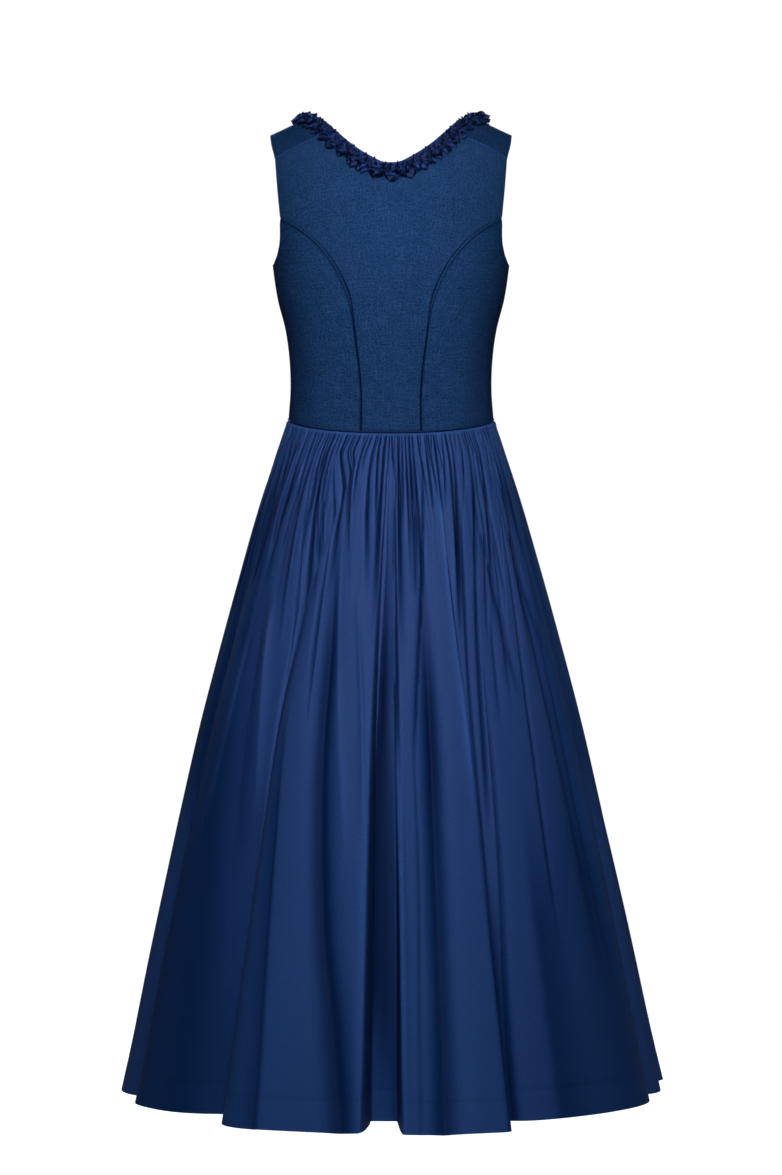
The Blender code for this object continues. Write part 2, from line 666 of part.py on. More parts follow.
def skirt_panels(satin):
    """One back width and two front widths. Their lower edge is turned up double as the hem."""
    hem_top = 1.0 - HEM_TURN / HEM_DROP
    rows = np.concatenate([SKIRT_ROWS, [hem_top - HEM_STEP, hem_top, 1.0]])
    thickness = np.where(rows < hem_top, SKIRT_WALL, 2.0 * SKIRT_WALL)
    names = ("skirt_back", "skirt_front_left", "skirt_front_right")
    for name, degrees in zip(names, skirt_columns()):
        across, down = np.meshgrid(degrees, rows)
        points = skirt_surface(across, down)
        points = gathered(points, skirt_normals(across, down), degrees, rows)
        wall(name, points, skirt_normals(across, down), thickness[:, None], satin)


# ---------------------------------------------------------------- materials and build
def cloth(name, colour, roughness):
    made = bpy.data.materials.new(name)
    made.use_nodes = True
    shader = made.node_tree.nodes["Principled BSDF"]
    shader.inputs["Base Color"].default_value = colour
    shader.inputs["Roughness"].default_value = roughness
    shader.inputs["Metallic"].default_value = 0.0
    return made


def main():
    for old in list(bpy.data.objects):
        bpy.data.objects.remove(old)
    wool = cloth("navy_wool", NAVY_WOOL, 0.9)
    satin = cloth("navy_satin", NAVY_SATIN, 0.5)
    trim = cloth("navy_trim", NAVY_TRIM, 0.6)
    back_panel(wool)
    side_back_panels(wool)
    side_front_panels(wool)
    front_panels(wool)
    back_seam_pipings(wool)
    waist_piping(satin)
    neck_band(trim)
    neck_ruche(trim)
    skirt_panels(satin)


main()
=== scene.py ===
"""The looks of a long sleeveless dirndl: each solid of the frame gets its cloth, seams and finish.

Metres, +Z up. The garment's front faces -Y and its back +Y, and the wearer's left is +X. Heights in
the tables count from the side waist, and `in_place` moves them to the shoulders' origin.
"""
import math

import bmesh
import bpy
import numpy as np
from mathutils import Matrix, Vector


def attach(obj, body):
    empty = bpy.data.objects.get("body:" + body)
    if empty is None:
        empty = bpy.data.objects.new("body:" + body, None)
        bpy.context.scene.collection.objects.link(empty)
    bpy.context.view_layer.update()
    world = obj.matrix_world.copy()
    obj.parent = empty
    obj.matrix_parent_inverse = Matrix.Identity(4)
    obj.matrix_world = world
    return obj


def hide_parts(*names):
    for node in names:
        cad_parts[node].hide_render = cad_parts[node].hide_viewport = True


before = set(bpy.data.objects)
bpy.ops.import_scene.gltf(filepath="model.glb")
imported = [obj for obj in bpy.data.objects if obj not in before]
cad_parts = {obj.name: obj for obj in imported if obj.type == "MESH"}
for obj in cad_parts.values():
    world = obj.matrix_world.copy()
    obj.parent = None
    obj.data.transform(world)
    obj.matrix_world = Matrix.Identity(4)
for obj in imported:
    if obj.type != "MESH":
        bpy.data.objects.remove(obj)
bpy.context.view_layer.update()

# ------------------------------------------------------------------------------------------------
# Back of the bodice: one piece of firm wool and linen cloth between the two curved back seams, from
# the waist up to the bound neck. It is turned in at its seams, so each edge rolls down a little.
# ------------------------------------------------------------------------------------------------
SHOULDER_HEIGHT = 0.400  # of the frame's origin over the side waist
BODICE_WALL = 0.0022
CHEST_LEVEL, CHEST_REACH = 0.215, 0.25  # where the front rounds over, and its cloth up to the ridge
BLADE_LEVEL, BLADE_REACH = 0.280, 0.19
SECTION_POWER = 2.2  # of the level sections: 2 is an ellipse, and more is squarer
WAIST_DIP, WAIST_DIP_POWER = 0.0223, 1.15
BUST = {"rise": 0.037, "x": 0.080, "height": 0.176, "spread_x": 0.060, "spread_z": 0.066}
BUST_SIDE_FADE = 1.3

# Level sections: height, half width, depth behind and depth in front of the sides.
SECTIONS = np.array([
    (-0.026, 0.1406, 0.0880, 0.099),
    (0.000, 0.1394, 0.0870, 0.098),
    (0.040, 0.1367, 0.0880, 0.098),
    (0.081, 0.1380, 0.0930, 0.101),
    (0.122, 0.1435, 0.0990, 0.107),
    (0.163, 0.1540, 0.1050, 0.113),
    (0.204, 0.1603, 0.1100, 0.117),
    (0.240, 0.1640, 0.1120, 0.118),
    (0.280, 0.1700, 0.1125, 0.118),
    (0.350, 0.1820, 0.1125, 0.118),
    (0.440, 0.1920, 0.1125, 0.118),
])
# Top of the shoulder: distance from the middle, height.
RIDGE = np.array([
    (0.000, 0.438),
    (0.050, 0.429),
    (0.098, 0.412),
    (0.130, 0.402),
    (0.149, 0.3935),
    (0.164, 0.387),
    (0.192, 0.375),
])
# Cut edges as x, height.
BACK_NECK = [
    (0.0000, 0.3285),
    (0.0110, 0.3296),
    (0.0333, 0.3403),
    (0.0595, 0.3590),
    (0.0822, 0.3812),
]
SHOULDER_SEAM = [(0.0822, 0.3812), (0.1180, 0.3665), (0.1560, 0.3480)]
BACK_PRINCESS = [
    (0.0400, -0.0220),
    (0.0398, 0.0300),
    (0.0455, 0.0900),
    (0.0600, 0.1680),
    (0.0810, 0.2090),
    (0.1190, 0.2485),
    (0.1490, 0.2680),
]
BACK_ARMHOLE = [(0.1490, 0.2680), (0.1525, 0.3050), (0.1560, 0.3480)]
CENTRE_BACK_CROWDING = 0.8  # below 1, the rows lie closer together at the neck

# How a sewn edge rolls down, wider beside the blades, with painted shade for its shadow beside
# the seam, and how a curved seam puckers the cloth.
SEAM_ROLL = {"depth": 0.0010, "reach": 0.0012, "reach_at_blades": 0.0040, "shadow": 0.96}
BLADES_FROM, BLADES_OVER = 0.115, 0.060  # the height where the roll starts to widen, and over which
PUCKER = {"depth": 0.00022, "pitch": 0.013, "reach": 0.011, "stray": 1.7, "stray_pitch": 0.047}
PAST_SEAM_END = 6.0  # how much sooner a seam's roll fades past its end than beside it
GRAIN_SPREAD = 1.1  # metres of cloth across a panel for each metre from the middle
SHARP_FROM = 70.0  # degrees between two faces of a sheet from which the edge is sharp


def smooth(knots, values, at):
    """The smooth curve through values at knots, read at the places `at`."""
    knots, values = np.asarray(knots, float), np.asarray(values, float)
    at = np.clip(np.asarray(at, float), knots[0], knots[-1])
    slopes = np.gradient(values, knots, axis=0)
    i = np.clip(np.searchsorted(knots, at, side="right") - 1, 0, len(knots) - 2)
    span = knots[i + 1] - knots[i]
    s = (at - knots[i]) / span
    if values.ndim > 1:
        span, s = span[..., None], s[..., None]
    return (
        values[i] * (1 + 2 * s) * (1 - s) ** 2
        + slopes[i] * span * s * (1 - s) ** 2
        + values[i + 1] * s * s * (3 - 2 * s)
        + slopes[i + 1] * span * s * s * (s - 1)
    )


def sampled(points, steps):
    """steps + 1 points, evenly spaced along the smooth curve through the given points."""
    points = np.asarray(points, float)
    lengths = np.linalg.norm(np.diff(points, axis=0) / np.ptp(points, axis=0).max(), axis=1)
    knots = np.concatenate([[0.0], np.cumsum(lengths)])
    return smooth(knots, points, np.linspace(0.0, knots[-1], steps + 1))


def joined(*stretches):
    """One run of points from several that share their end points."""
    return np.concatenate([stretches[0], *[s[1:] for s in stretches[1:]]])


def step_up(value):
    """A soft step from 0 to 1."""
    value = np.clip(value, 0.0, 1.0)
    return value * value * (3.0 - 2.0 * value)


def half_width(z):
    return smooth(SECTIONS[:, 0], SECTIONS[:, 1], z)


def ridge(x):
    return smooth(RIDGE[:, 0], RIDGE[:, 1], np.abs(x))


def section_share(x, z):
    """How much of the full depth a level section keeps at x: 1 in the middle, 0 at the side."""
    share = np.clip(np.abs(x) / half_width(z), 0.0, 1.0) ** SECTION_POWER
    return (1.0 - share) ** (1.0 / SECTION_POWER)


def back_depth(x, z):
    return smooth(SECTIONS[:, 0], SECTIONS[:, 2], z) * section_share(x, z)


def front_depth(x, z):
    """Depth of the front below the chest's rounding, with the fullness cut over the bust."""
    share = section_share(x, z)
    over = (np.abs(x) - BUST["x"]) / BUST["spread_x"]
    up = (z - BUST["height"]) / BUST["spread_z"]
    fullness = BUST["rise"] * np.exp(-(over**2) - up**2)
    fullness *= np.minimum(1.0, BUST_SIDE_FADE * share)
    return smooth(SECTIONS[:, 0], SECTIONS[:, 3], z) * share + fullness


SIDES_OF_SHOULDER = {
    False: (CHEST_LEVEL, CHEST_REACH, front_depth),
    True: (BLADE_LEVEL, BLADE_REACH, back_depth),
}


def profile_place(x, z, behind):
    """Place on the profile over the shoulder: below -1 the front, 0 the ridge, above 1 the back."""
    x, z = np.asarray(x, float), np.asarray(z, float)
    level, reach = SIDES_OF_SHOULDER[behind][:2]
    up = np.clip((z - level) / (ridge(x) - level), 0.0, 1.0)
    place = np.where(z > level, 1.0 - 2.0 / math.pi * np.arcsin(up), 1.0 + (level - z) / reach)
    return place if behind else -place


def over_shoulder(x, place):
    """Point of the bodice at x, at a place on the profile."""
    x, place = np.broadcast_arrays(np.asarray(x, float), np.asarray(place, float))
    point = np.empty(x.shape + (3,))
    for behind in (False, True):
        here = (place >= 0) if behind else (place < 0)
        level, reach, depth = SIDES_OF_SHOULDER[behind]
        across, along = x[here], np.abs(place[here])
        turn = np.clip(1.0 - along, 0.0, 1.0) * math.pi / 2.0
        rounded = level + (ridge(across) - level) * np.sin(turn)
        z = np.where(along < 1.0, rounded, level - (along - 1.0) * reach)
        y = depth(across, z) * np.cos(turn)
        point[here] = np.stack([across, y if behind else -y, z], axis=-1)
    return point


def angle_at(x, z, behind):
    """Degrees round from the centre back of a point that is given by x and height."""
    share = np.clip(np.asarray(x) / half_width(z), 0.0, 1.0)
    turn = np.degrees(np.arcsin(share ** (SECTION_POWER / 2.0)))
    return turn if behind else 180.0 - turn


def waist_height(degrees):
    """The waist seam dips at the centre back and the centre front."""
    return -WAIST_DIP * np.abs(np.cos(np.radians(degrees))) ** WAIST_DIP_POWER


def from_waist(seam, behind):
    """The points of a seam, with the lowest brought onto the waist seam."""
    x, height = seam[0]
    return [(x, float(waist_height(angle_at(x, height, behind)))), *seam[1:]]


def waist_edge(angle_from, angle_to, steps):
    """Degrees and heights along the waist seam."""
    degrees = np.linspace(angle_from, angle_to, steps + 1)
    return np.stack([degrees, waist_height(degrees)], axis=-1)


def on_profile(points, behind):
    """x and height turned into x and place on the profile."""
    points = np.asarray(points, float)
    return np.stack([points[:, 0], profile_place(points[:, 0], points[:, 1], behind)], axis=-1)


def patch(bottom, top, first_side, last_side):
    """A grid of places filled in between four edges that meet at their corners."""
    across = np.linspace(0.0, 1.0, len(bottom))[None, :, None]
    up = np.linspace(0.0, 1.0, len(first_side))[:, None, None]
    corners = (
        (1 - across) * (1 - up) * bottom[0]
        + across * (1 - up) * bottom[-1]
        + (1 - across) * up * top[0]
        + across * up * top[-1]
    )
    between_sides = (1 - across) * first_side[:, None] + across * last_side[:, None]
    between_ends = (1 - up) * bottom[None] + up * top[None]
    return between_sides + between_ends - corners


def eased(places, rounds):
    """The same grid with the places inside it evened out, so that no cells cross."""
    places = places.copy()
    for _ in range(rounds):
        beside = places[1:-1, 2:] + places[1:-1, :-2]
        places[1:-1, 1:-1] = 0.25 * (beside + places[2:, 1:-1] + places[:-2, 1:-1])
    return places


def mirrored(points):
    return points * np.array([-1.0, 1.0, 1.0])


def outward_of(points):
    """Unit normals of a grid of points, away from the garment's hollow."""
    rows = np.gradient(points, axis=0)
    columns = np.gradient(points, axis=1)
    normal = np.cross(rows, columns)
    normal /= np.maximum(np.linalg.norm(normal, axis=-1, keepdims=True), 1e-12)
    from_axis = points * np.array([1.0, 1.0, 0.0])
    return normal if (normal * from_axis).sum() > 0 else -normal


def from_edges(points, edges):
    """Distance of each point of a grid from the nearest of these edges, or of their first rows."""
    nearest = np.full(points.shape[:2], 1.0)
    for name, rows in edges.items():
        steps = 0 if name in ("bottom", "top") else 1
        run = run_along(points, steps)
        if name in ("top", "last"):
            run = run.take([-1], axis=steps) - run
        if rows is not None:
            past = run_along(points, 0) - run_along(points, 0)[rows]
            run = np.where(past > 0, np.hypot(run, past * PAST_SEAM_END), run)
        nearest = np.minimum(nearest, run)
    return nearest


def run_along(points, axis):
    """Length of cloth from the first row or column to each point."""
    lengths = np.cumsum(np.linalg.norm(np.diff(points, axis=axis), axis=-1), axis=axis)
    return np.concatenate([np.zeros_like(lengths.take([0], axis=axis)), lengths], axis=axis)


def faces_between(index):
    """Four-cornered faces between the rows and columns of a grid of point numbers."""
    corners = (index[:-1, :-1], index[:-1, 1:], index[1:, 1:], index[1:, :-1])
    return np.stack([c.ravel() for c in corners], axis=1)


def sheet_of_cloth(name, outside, thickness, grain, material, shade):
    """A closed sheet: a fine outer face, an inner face of every second point, and a rim between.
    `shade` is painted light and shade: the colour is painted darker where it is below 1, as in the
    depth of a fold or a seam, and painted paler where it is above 1."""
    rows, columns = outside.shape[:2]
    outward = outward_of(outside)
    inside = (outside - outward * np.broadcast_to(thickness, (rows, columns))[..., None])[::2, ::2]
    outer = np.arange(rows * columns).reshape(rows, columns)
    inner = np.arange(inside.shape[0] * inside.shape[1]).reshape(inside.shape[:2]) + rows * columns
    rim, rim_within = (
        np.concatenate([g[0, :-1], g[:-1, -1], g[-1, :0:-1], g[:0:-1, 0]]) for g in (outer, inner)
    )
    first, middle, last = rim[::2], rim[1::2], np.roll(rim, -2)[::2]
    after = np.roll(rim_within, -1)
    triangles = np.concatenate([
        np.stack([middle, first, rim_within], axis=1),
        np.stack([middle, rim_within, after], axis=1),
        np.stack([last, middle, after], axis=1),
    ])
    quads = np.concatenate([faces_between(outer), faces_between(inner)[:, ::-1]])
    points = np.concatenate([outside.reshape(-1, 3), inside.reshape(-1, 3)])
    if (outward_of(outside) * np.cross(*(np.gradient(outside, axis=a) for a in (1, 0)))).sum() < 0:
        quads, triangles = quads[:, ::-1], triangles[:, ::-1]
    corners = np.concatenate([quads.ravel(), triangles.ravel()])
    starts = np.concatenate([
        np.arange(len(quads)) * 4,
        len(quads) * 4 + np.arange(len(triangles)) * 3,
    ])
    mesh = bpy.data.meshes.new(name)
    mesh.vertices.add(len(points))
    mesh.vertices.foreach_set("co", in_place(points).astype(np.float32).ravel())
    mesh.loops.add(len(corners))
    mesh.loops.foreach_set("vertex_index", corners.astype(np.int32))
    mesh.polygons.add(len(starts))
    mesh.polygons.foreach_set("loop_start", starts.astype(np.int32))
    mesh.update(calc_edges=True)
    threads = np.concatenate([grain.reshape(-1, 2), grain[::2, ::2].reshape(-1, 2)])[corners]
    painted_shades = np.concatenate([shade.ravel(), shade[::2, ::2].ravel()])
    return of_cloth(name, mesh, threads, painted_shades, material, SHARP_FROM)


def of_cloth(name, mesh, threads, painted_shades, material, sharp_from):
    """A piece of a mesh, with the cloth's threads at its corners and its painted shade at its
    points.
    """
    uv = mesh.uv_layers.new(name="grain")
    uv.data.foreach_set("uv", threads.astype(np.float32).ravel())
    shades = mesh.attributes.new("shade", "FLOAT", "POINT")
    shades.data.foreach_set("value", painted_shades.astype(np.float32).ravel())
    mesh.shade_smooth()
    mesh.set_sharp_from_angle(angle=math.radians(sharp_from))
    mesh.materials.append(material)
    return placed(name, mesh)


def placed(name, data):
    """A new object in the scene."""
    made = bpy.data.objects.new(name, data)
    bpy.context.scene.collection.objects.link(made)
    return made


def in_place(points):
    """From heights above the side waist to the frame, whose origin is at the shoulders."""
    return points - np.array([0.0, 0.0, SHOULDER_HEIGHT])


def dressed(piece, node, slot, held="stretched", rests_on=(), **cut):
    """The piece takes the node's place on the garment, and the node's own part is hidden. The cut
    of a sheet of cloth is not used.
    """
    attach(piece, "root")
    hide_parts(node)


def seamed_with_painted_shade(points, sewn, curved):
    """The finished surface of a bodice panel, and its painted shade: sewn edges roll down, and the
    seam's shadow is painted into the cloth beside them. Curved seams pucker the cloth beside them."""
    outward = outward_of(points)
    beside = from_edges(points, sewn)
    wider = step_up((points[..., 2] - BLADES_FROM) / BLADES_OVER)
    reach = SEAM_ROLL["reach"] + (SEAM_ROLL["reach_at_blades"] - SEAM_ROLL["reach"]) * wider
    lift = -SEAM_ROLL["depth"] * np.exp(-((beside / reach) ** 2))
    # Painted shade: the colour is darkened beside each sewn edge, as the seam's shadow.
    shade = 1.0 - SEAM_ROLL["shadow"] * np.exp(-((beside / reach) ** 5))
    along = run_along(points, 0)
    stray = PUCKER["stray"] * np.sin(along / PUCKER["stray_pitch"])
    wave = np.sin(along / PUCKER["pitch"] * math.tau + stray)
    near = np.exp(-((from_edges(points, curved) / PUCKER["reach"]) ** 2))
    lift = lift + PUCKER["depth"] * wave * near
    return points + outward * lift[..., None], shade


def node_group(name, kind, inputs, outputs):
    """An empty group of nodes with named inputs and outputs, and the identifiers of its inputs."""
    group = bpy.data.node_groups.new(name, kind)
    sockets = {}
    for socket, of, value in inputs:
        made = group.interface.new_socket(socket, in_out="INPUT", socket_type="NodeSocket" + of)
        sockets[socket] = made.identifier
        if value is not None:
            made.default_value = value
    for socket, of in outputs:
        group.interface.new_socket(socket, in_out="OUTPUT", socket_type="NodeSocket" + of)
    return group, sockets


def node(tree, kind, settings=(), **inputs):
    """A node with its settings. An input is given by its name, or as i and its number, and is a
    value or another node's socket."""
    made = tree.nodes.new(kind)
    for name, value in dict(settings).items():
        setattr(made, name, value)
    for name, value in inputs.items():
        numbered = name[0] == "i" and name[1:].isdigit()
        socket = made.inputs[int(name[1:]) if numbered else name]
        if isinstance(value, bpy.types.NodeSocket):
            tree.links.new(value, socket)
        else:
            socket.default_value = value
    return made


def maths(tree, operation, *values):
    inputs = {f"i{k}": value for k, value in enumerate(values)}
    return node(tree, "ShaderNodeMath", {"operation": operation}, **inputs).outputs[0]


def noise(tree, where, scale, detail, roughness=0.5):
    """Noise over the threads of the cloth, between 0 and 1."""
    return node(
        tree, "ShaderNodeTexNoise", {"noise_dimensions": "2D"},
        Vector=where, Scale=scale, Detail=detail, Roughness=roughness,
    ).outputs[0]


# Noise on the threads: scale, detail and roughness.
SLUB_NOISE, FUZZ_NOISE, CLOUD_NOISE = (0.7, 2.0, 0.6), (420.0, 5.0, 0.85), (38.0, 3.0, 0.6)
FLECK_RANGE, MOTTLE_RANGE = (0.52, 0.80), (0.40, 0.60)  # of the noise, taken as 0 to 1
FUZZ_SHARE = 0.93  # of the mottle: the rest is clouds
SLUB_RISE = 1.5  # of a slub over the weave


def slub_threads():
    """Threads of uneven thickness: flecks along both directions of the cloth, and its weave."""
    group = node_group(
        "slub threads", "ShaderNodeTree",
        [("Grain", "Vector", None), ("Thread", "Float", 0.0009), ("Slub length", "Float", 0.016)],
        [("Flecks", "Float"), ("Mottle", "Float"), ("Weave", "Float")],
    )[0]
    given = group.nodes.new("NodeGroupInput").outputs
    parts = node(group, "ShaderNodeSeparateXYZ", i0=given["Grain"]).outputs
    fine_u, fine_v = (maths(group, "DIVIDE", parts[k], given["Thread"]) for k in (0, 1))
    long_u, long_v = (maths(group, "DIVIDE", parts[k], given["Slub length"]) for k in (0, 1))
    flecks = []
    for across, along in ((fine_u, long_v), (long_u, fine_v)):
        where = node(group, "ShaderNodeCombineXYZ", i0=across, i1=along).outputs[0]
        flecks.append(node(
            group, "ShaderNodeMapRange", {"interpolation_type": "SMOOTHSTEP"},
            Value=noise(group, where, *SLUB_NOISE), i1=FLECK_RANGE[0], i2=FLECK_RANGE[1],
        ).outputs[0])
    both = maths(group, "ADD", *flecks)
    fuzz = maths(group, "MULTIPLY", noise(group, given["Grain"], *FUZZ_NOISE), FUZZ_SHARE)
    cloud = maths(group, "MULTIPLY", noise(group, given["Grain"], *CLOUD_NOISE), 1 - FUZZ_SHARE)
    mixed = maths(group, "ADD", fuzz, cloud)
    mottle = node(
        group, "ShaderNodeMapRange", Value=mixed, i1=MOTTLE_RANGE[0], i2=MOTTLE_RANGE[1]
    )
    weft, warp = (
        maths(group, "SINE", maths(group, "MULTIPLY", k, math.pi)) for k in (fine_v, fine_u)
    )
    weave = maths(group, "ABSOLUTE", maths(group, "MULTIPLY", weft, warp))
    raised = maths(group, "ADD", weave, maths(group, "MULTIPLY", both, SLUB_RISE))
    node(group, "NodeGroupOutput", Flecks=both, Mottle=mottle.outputs[0], Weave=raised)
    return group


SLUB_THREADS = slub_threads()


def new_material(name, roughness, specular, tint=(1.0, 1.0, 1.0, 1.0)):
    """A material with the same gloss all over, its tree of nodes and its shader."""
    material = bpy.data.materials.new(name)
    material.use_nodes = True
    shader = material.node_tree.nodes["Principled BSDF"]
    shader.inputs["Roughness"].default_value = roughness
    shader.inputs["Specular IOR Level"].default_value = specular
    shader.inputs["Specular Tint"].default_value = tint
    return material, material.node_tree, shader


def between(tree, share, first, second):
    """A colour so far between two."""
    return node(
        tree, "ShaderNodeMix", {"data_type": "RGBA"}, i0=share, i6=first, i7=second
    ).outputs[2]


def woven(tree, shader, strength, distance, **sizes):
    """The outputs of the slub threads on the cloth's own grain. Their weave raises the surface."""
    grain = node(tree, "ShaderNodeUVMap", {"uv_map": "grain"}).outputs[0]
    group = node(tree, "ShaderNodeGroup", {"node_tree": SLUB_THREADS}, Grain=grain, **sizes)
    weave = group.outputs["Weave"]
    bump = node(tree, "ShaderNodeBump", Strength=strength, Distance=distance, Height=weave)
    tree.links.new(bump.outputs[0], shader.inputs["Normal"])
    return group.outputs


SHADE_POWERS = (1.90, 1.05, 0.80)  # of red, green and blue


def painted_shade_group():
    """A colour with painted shade, darker in seams and folds, or with a painted highlight, paler on
    a crest. The darker it is the purer its blue, because light that reaches it has met the cloth
    more than once."""
    group = node_group(
        "painted shade and highlight", "ShaderNodeTree",
        [("Cloth", "Color", None), ("Shade", "Float", 1.0)], [("Colour", "Color")],
    )[0]
    given = group.nodes.new("NodeGroupInput").outputs
    darker, paler = (
        maths(group, kind, given["Shade"], 1.0) for kind in ("MINIMUM", "MAXIMUM")
    )
    parts = node(group, "ShaderNodeSeparateColor", i0=given["Cloth"]).outputs
    made = {}
    for k, (part, power) in enumerate(zip(parts, SHADE_POWERS)):
        lit = maths(group, "MULTIPLY", part, paler)
        made[f"i{k}"] = maths(group, "MULTIPLY", lit, maths(group, "POWER", darker, power))
    joint = node(group, "ShaderNodeCombineColor", **made)
    node(group, "NodeGroupOutput", Colour=joint.outputs[0])
    return group


PAINTED_SHADE_GROUP = painted_shade_group()


def shaded(tree, colour, shader):
    """The colour goes to the shader, with the painted shade and highlights of the mesh's points."""
    shade = node(tree, "ShaderNodeAttribute", {"attribute_name": "shade"}).outputs["Fac"]
    group = node(tree, "ShaderNodeGroup", {"node_tree": PAINTED_SHADE_GROUP}, Cloth=colour, Shade=shade)
    tree.links.new(group.outputs["Colour"], shader.inputs["Base Color"])


WOOL_DARK = (0.0008, 0.0125, 0.046, 1.0)
WOOL_LIGHT = (0.0105, 0.0425, 0.120, 1.0)
WOOL_FLECK = (0.0500, 0.1050, 0.230, 1.0)
FLECK_SHARE = 0.20  # of its colour in a fleck


def wool_linen():
    """Navy cloth of wool and linen: matt, mottled, with paler slubs, and with painted shade where
    it turns away and in its seams, and painted highlights on raised edges.
    """
    material, tree, shader = new_material("navy wool and linen", roughness=0.92, specular=0.06)
    threads = woven(tree, shader, strength=0.35, distance=0.0003)
    ground = between(tree, threads["Mottle"], WOOL_DARK, WOOL_LIGHT)
    flecked = maths(tree, "MULTIPLY", threads["Flecks"], FLECK_SHARE)
    shaded(tree, between(tree, flecked, ground, WOOL_FLECK), shader)
    return material


WOOL = wool_linen()

# Steps are even, because the inner face takes every second point.
ROWS, HALF_COLUMNS = 128, 60
EASING_ROUNDS = 150
princess_rows, neck_columns = 78, 38
princess = on_profile(sampled(from_waist(BACK_PRINCESS, True), princess_rows), True)
armhole = on_profile(sampled(BACK_ARMHOLE, ROWS - princess_rows), True)
outer = joined(princess, armhole)
top = joined(
    on_profile(sampled(BACK_NECK, neck_columns), True),
    on_profile(sampled(SHOULDER_SEAM, HALF_COLUMNS - neck_columns), True),
)


def bodice_at(degrees, z):
    """Point of the bodice at an angle round from the centre back, on the wearer's left."""
    degrees, z = np.broadcast_arrays(np.asarray(degrees, float), np.asarray(z, float))
    angle = np.radians(degrees)
    x = half_width(z) * np.sign(np.sin(angle)) * np.abs(np.sin(angle)) ** (2.0 / SECTION_POWER)
    behind = back_depth(x, z) * rounding(x, z, BLADE_LEVEL)
    before = -front_depth(x, z) * rounding(x, z, CHEST_LEVEL)
    return np.stack([x, np.where(degrees <= 90.0, behind, before), z], axis=-1)


def rounding(x, z, level):
    """Share of the depth left at height z, where a side rounds over from level to the ridge."""
    up = np.clip((z - level) / (ridge(x) - level), 0.0, 1.0)
    return np.sqrt(1.0 - up**2)


side_angle = angle_at(BACK_PRINCESS[0][0], BACK_PRINCESS[0][1], True)
waist = waist_edge(0.0, side_angle, HALF_COLUMNS)
bottom = on_profile(bodice_at(waist[:, 0], waist[:, 1])[:, [0, 2]], True)
up_the_back = np.linspace(0.0, 1.0, ROWS + 1)[:, None] ** CENTRE_BACK_CROWDING
centre = bottom[0] + (top[0] - bottom[0]) * up_the_back
bottom[-1] = outer[0]
places = eased(patch(bottom, top, centre, outer), EASING_ROUNDS)
half = over_shoulder(places[..., 0], places[..., 1])
whole = np.concatenate([mirrored(half)[:, :0:-1], half], axis=1)
grain = np.stack([whole[..., 0] * GRAIN_SPREAD, run_along(whole, 0)], axis=-1)
curved = {"first": princess_rows, "last": princess_rows}
surface, shade = seamed_with_painted_shade(whole, {**curved, "bottom": None}, curved)
back = sheet_of_cloth("back_of_bodice", surface, BODICE_WALL, grain, WOOL, shade)
dressed(back, "bodice_back", "navy_wool", flat=(0.330, 0.420), area=0.075)

# ------------------------------------------------------------------------------------------------
# Side backs and side fronts: four small panels of the same cloth that fit the body under the arms.
# They are joined in plain seams at the sides and in the curved seams at the back and the front.
# ------------------------------------------------------------------------------------------------
FRONT_PRINCESS = [
    (0.0560, -0.0240),
    (0.0600, 0.0500),
    (0.0740, 0.1200),
    (0.0900, 0.1740),
    (0.1150, 0.2230),
    (0.1430, 0.2560),
]
# Underarm curves as degrees round from the centre back, height.
BACK_UNDERARM = [(61.4, 0.2680), (64.6, 0.2400), (68.5, 0.2250), (76.0, 0.2130), (90.0, 0.2080)]
FRONT_UNDERARM = [(90.0, 0.2080), (103.0, 0.2120), (111.0, 0.2280), (118.7, 0.2560)]
UNDERARM_HEIGHT = 0.208
# How much painted shade darkens the cloth where it turns in under the arm, up to so many degrees
# from the side seam, and how many of them it takes to fade.
UNDERARM_SHADE, UNDERARM_END, UNDERARM_FADE = 0.42, 57.5, 50.0
SIDE_ROWS, SIDE_COLUMNS = 100, 60


def as_angles(points, behind):
    """x and height turned into degrees round and height."""
    points = np.asarray(points, float)
    return np.stack([angle_at(points[:, 0], points[:, 1], behind), points[:, 1]], axis=-1)


side_seam = np.linspace((90.0, 0.0), (90.0, UNDERARM_HEIGHT), SIDE_ROWS + 1)
for behind, seam, underarm, area in (
    (True, BACK_PRINCESS, BACK_UNDERARM, 0.040),
    (False, FRONT_PRINCESS, FRONT_UNDERARM, 0.037),
):
    curved = as_angles(sampled(from_waist(seam, behind), SIDE_ROWS), behind)
    first, last = (curved, side_seam) if behind else (side_seam, curved)
    top = sampled(underarm, SIDE_COLUMNS)
    bottom = waist_edge(first[0, 0], last[0, 0], SIDE_COLUMNS)
    top[0], top[-1], bottom[0], bottom[-1] = first[-1], last[-1], first[0], last[0]
    places = patch(bottom, top, first, last)
    left = bodice_at(places[..., 0], places[..., 1])
    grain = np.stack([run_along(left, 1), left[..., 2]], axis=-1)
    curved = {"first" if behind else "last": None}
    left, shade = seamed_with_painted_shade(left, {"first": None, "last": None, "bottom": None}, curved)
    # Painted shade under the arm.
    near_side = step_up((UNDERARM_END - np.abs(places[..., 0] - 90.0)) / UNDERARM_FADE)
    shade = shade * (1.0 - UNDERARM_SHADE * near_side)
    kind = "side_back" if behind else "side_front"
    for side, shape in (("left", left), ("right", mirrored(left))):
        piece = sheet_of_cloth(f"{kind}_{side}", shape, BODICE_WALL, grain, WOOL, shade)
        dressed(piece, f"bodice_{kind}_{side}", "navy_wool", flat=(0.150, 0.290), area=area)

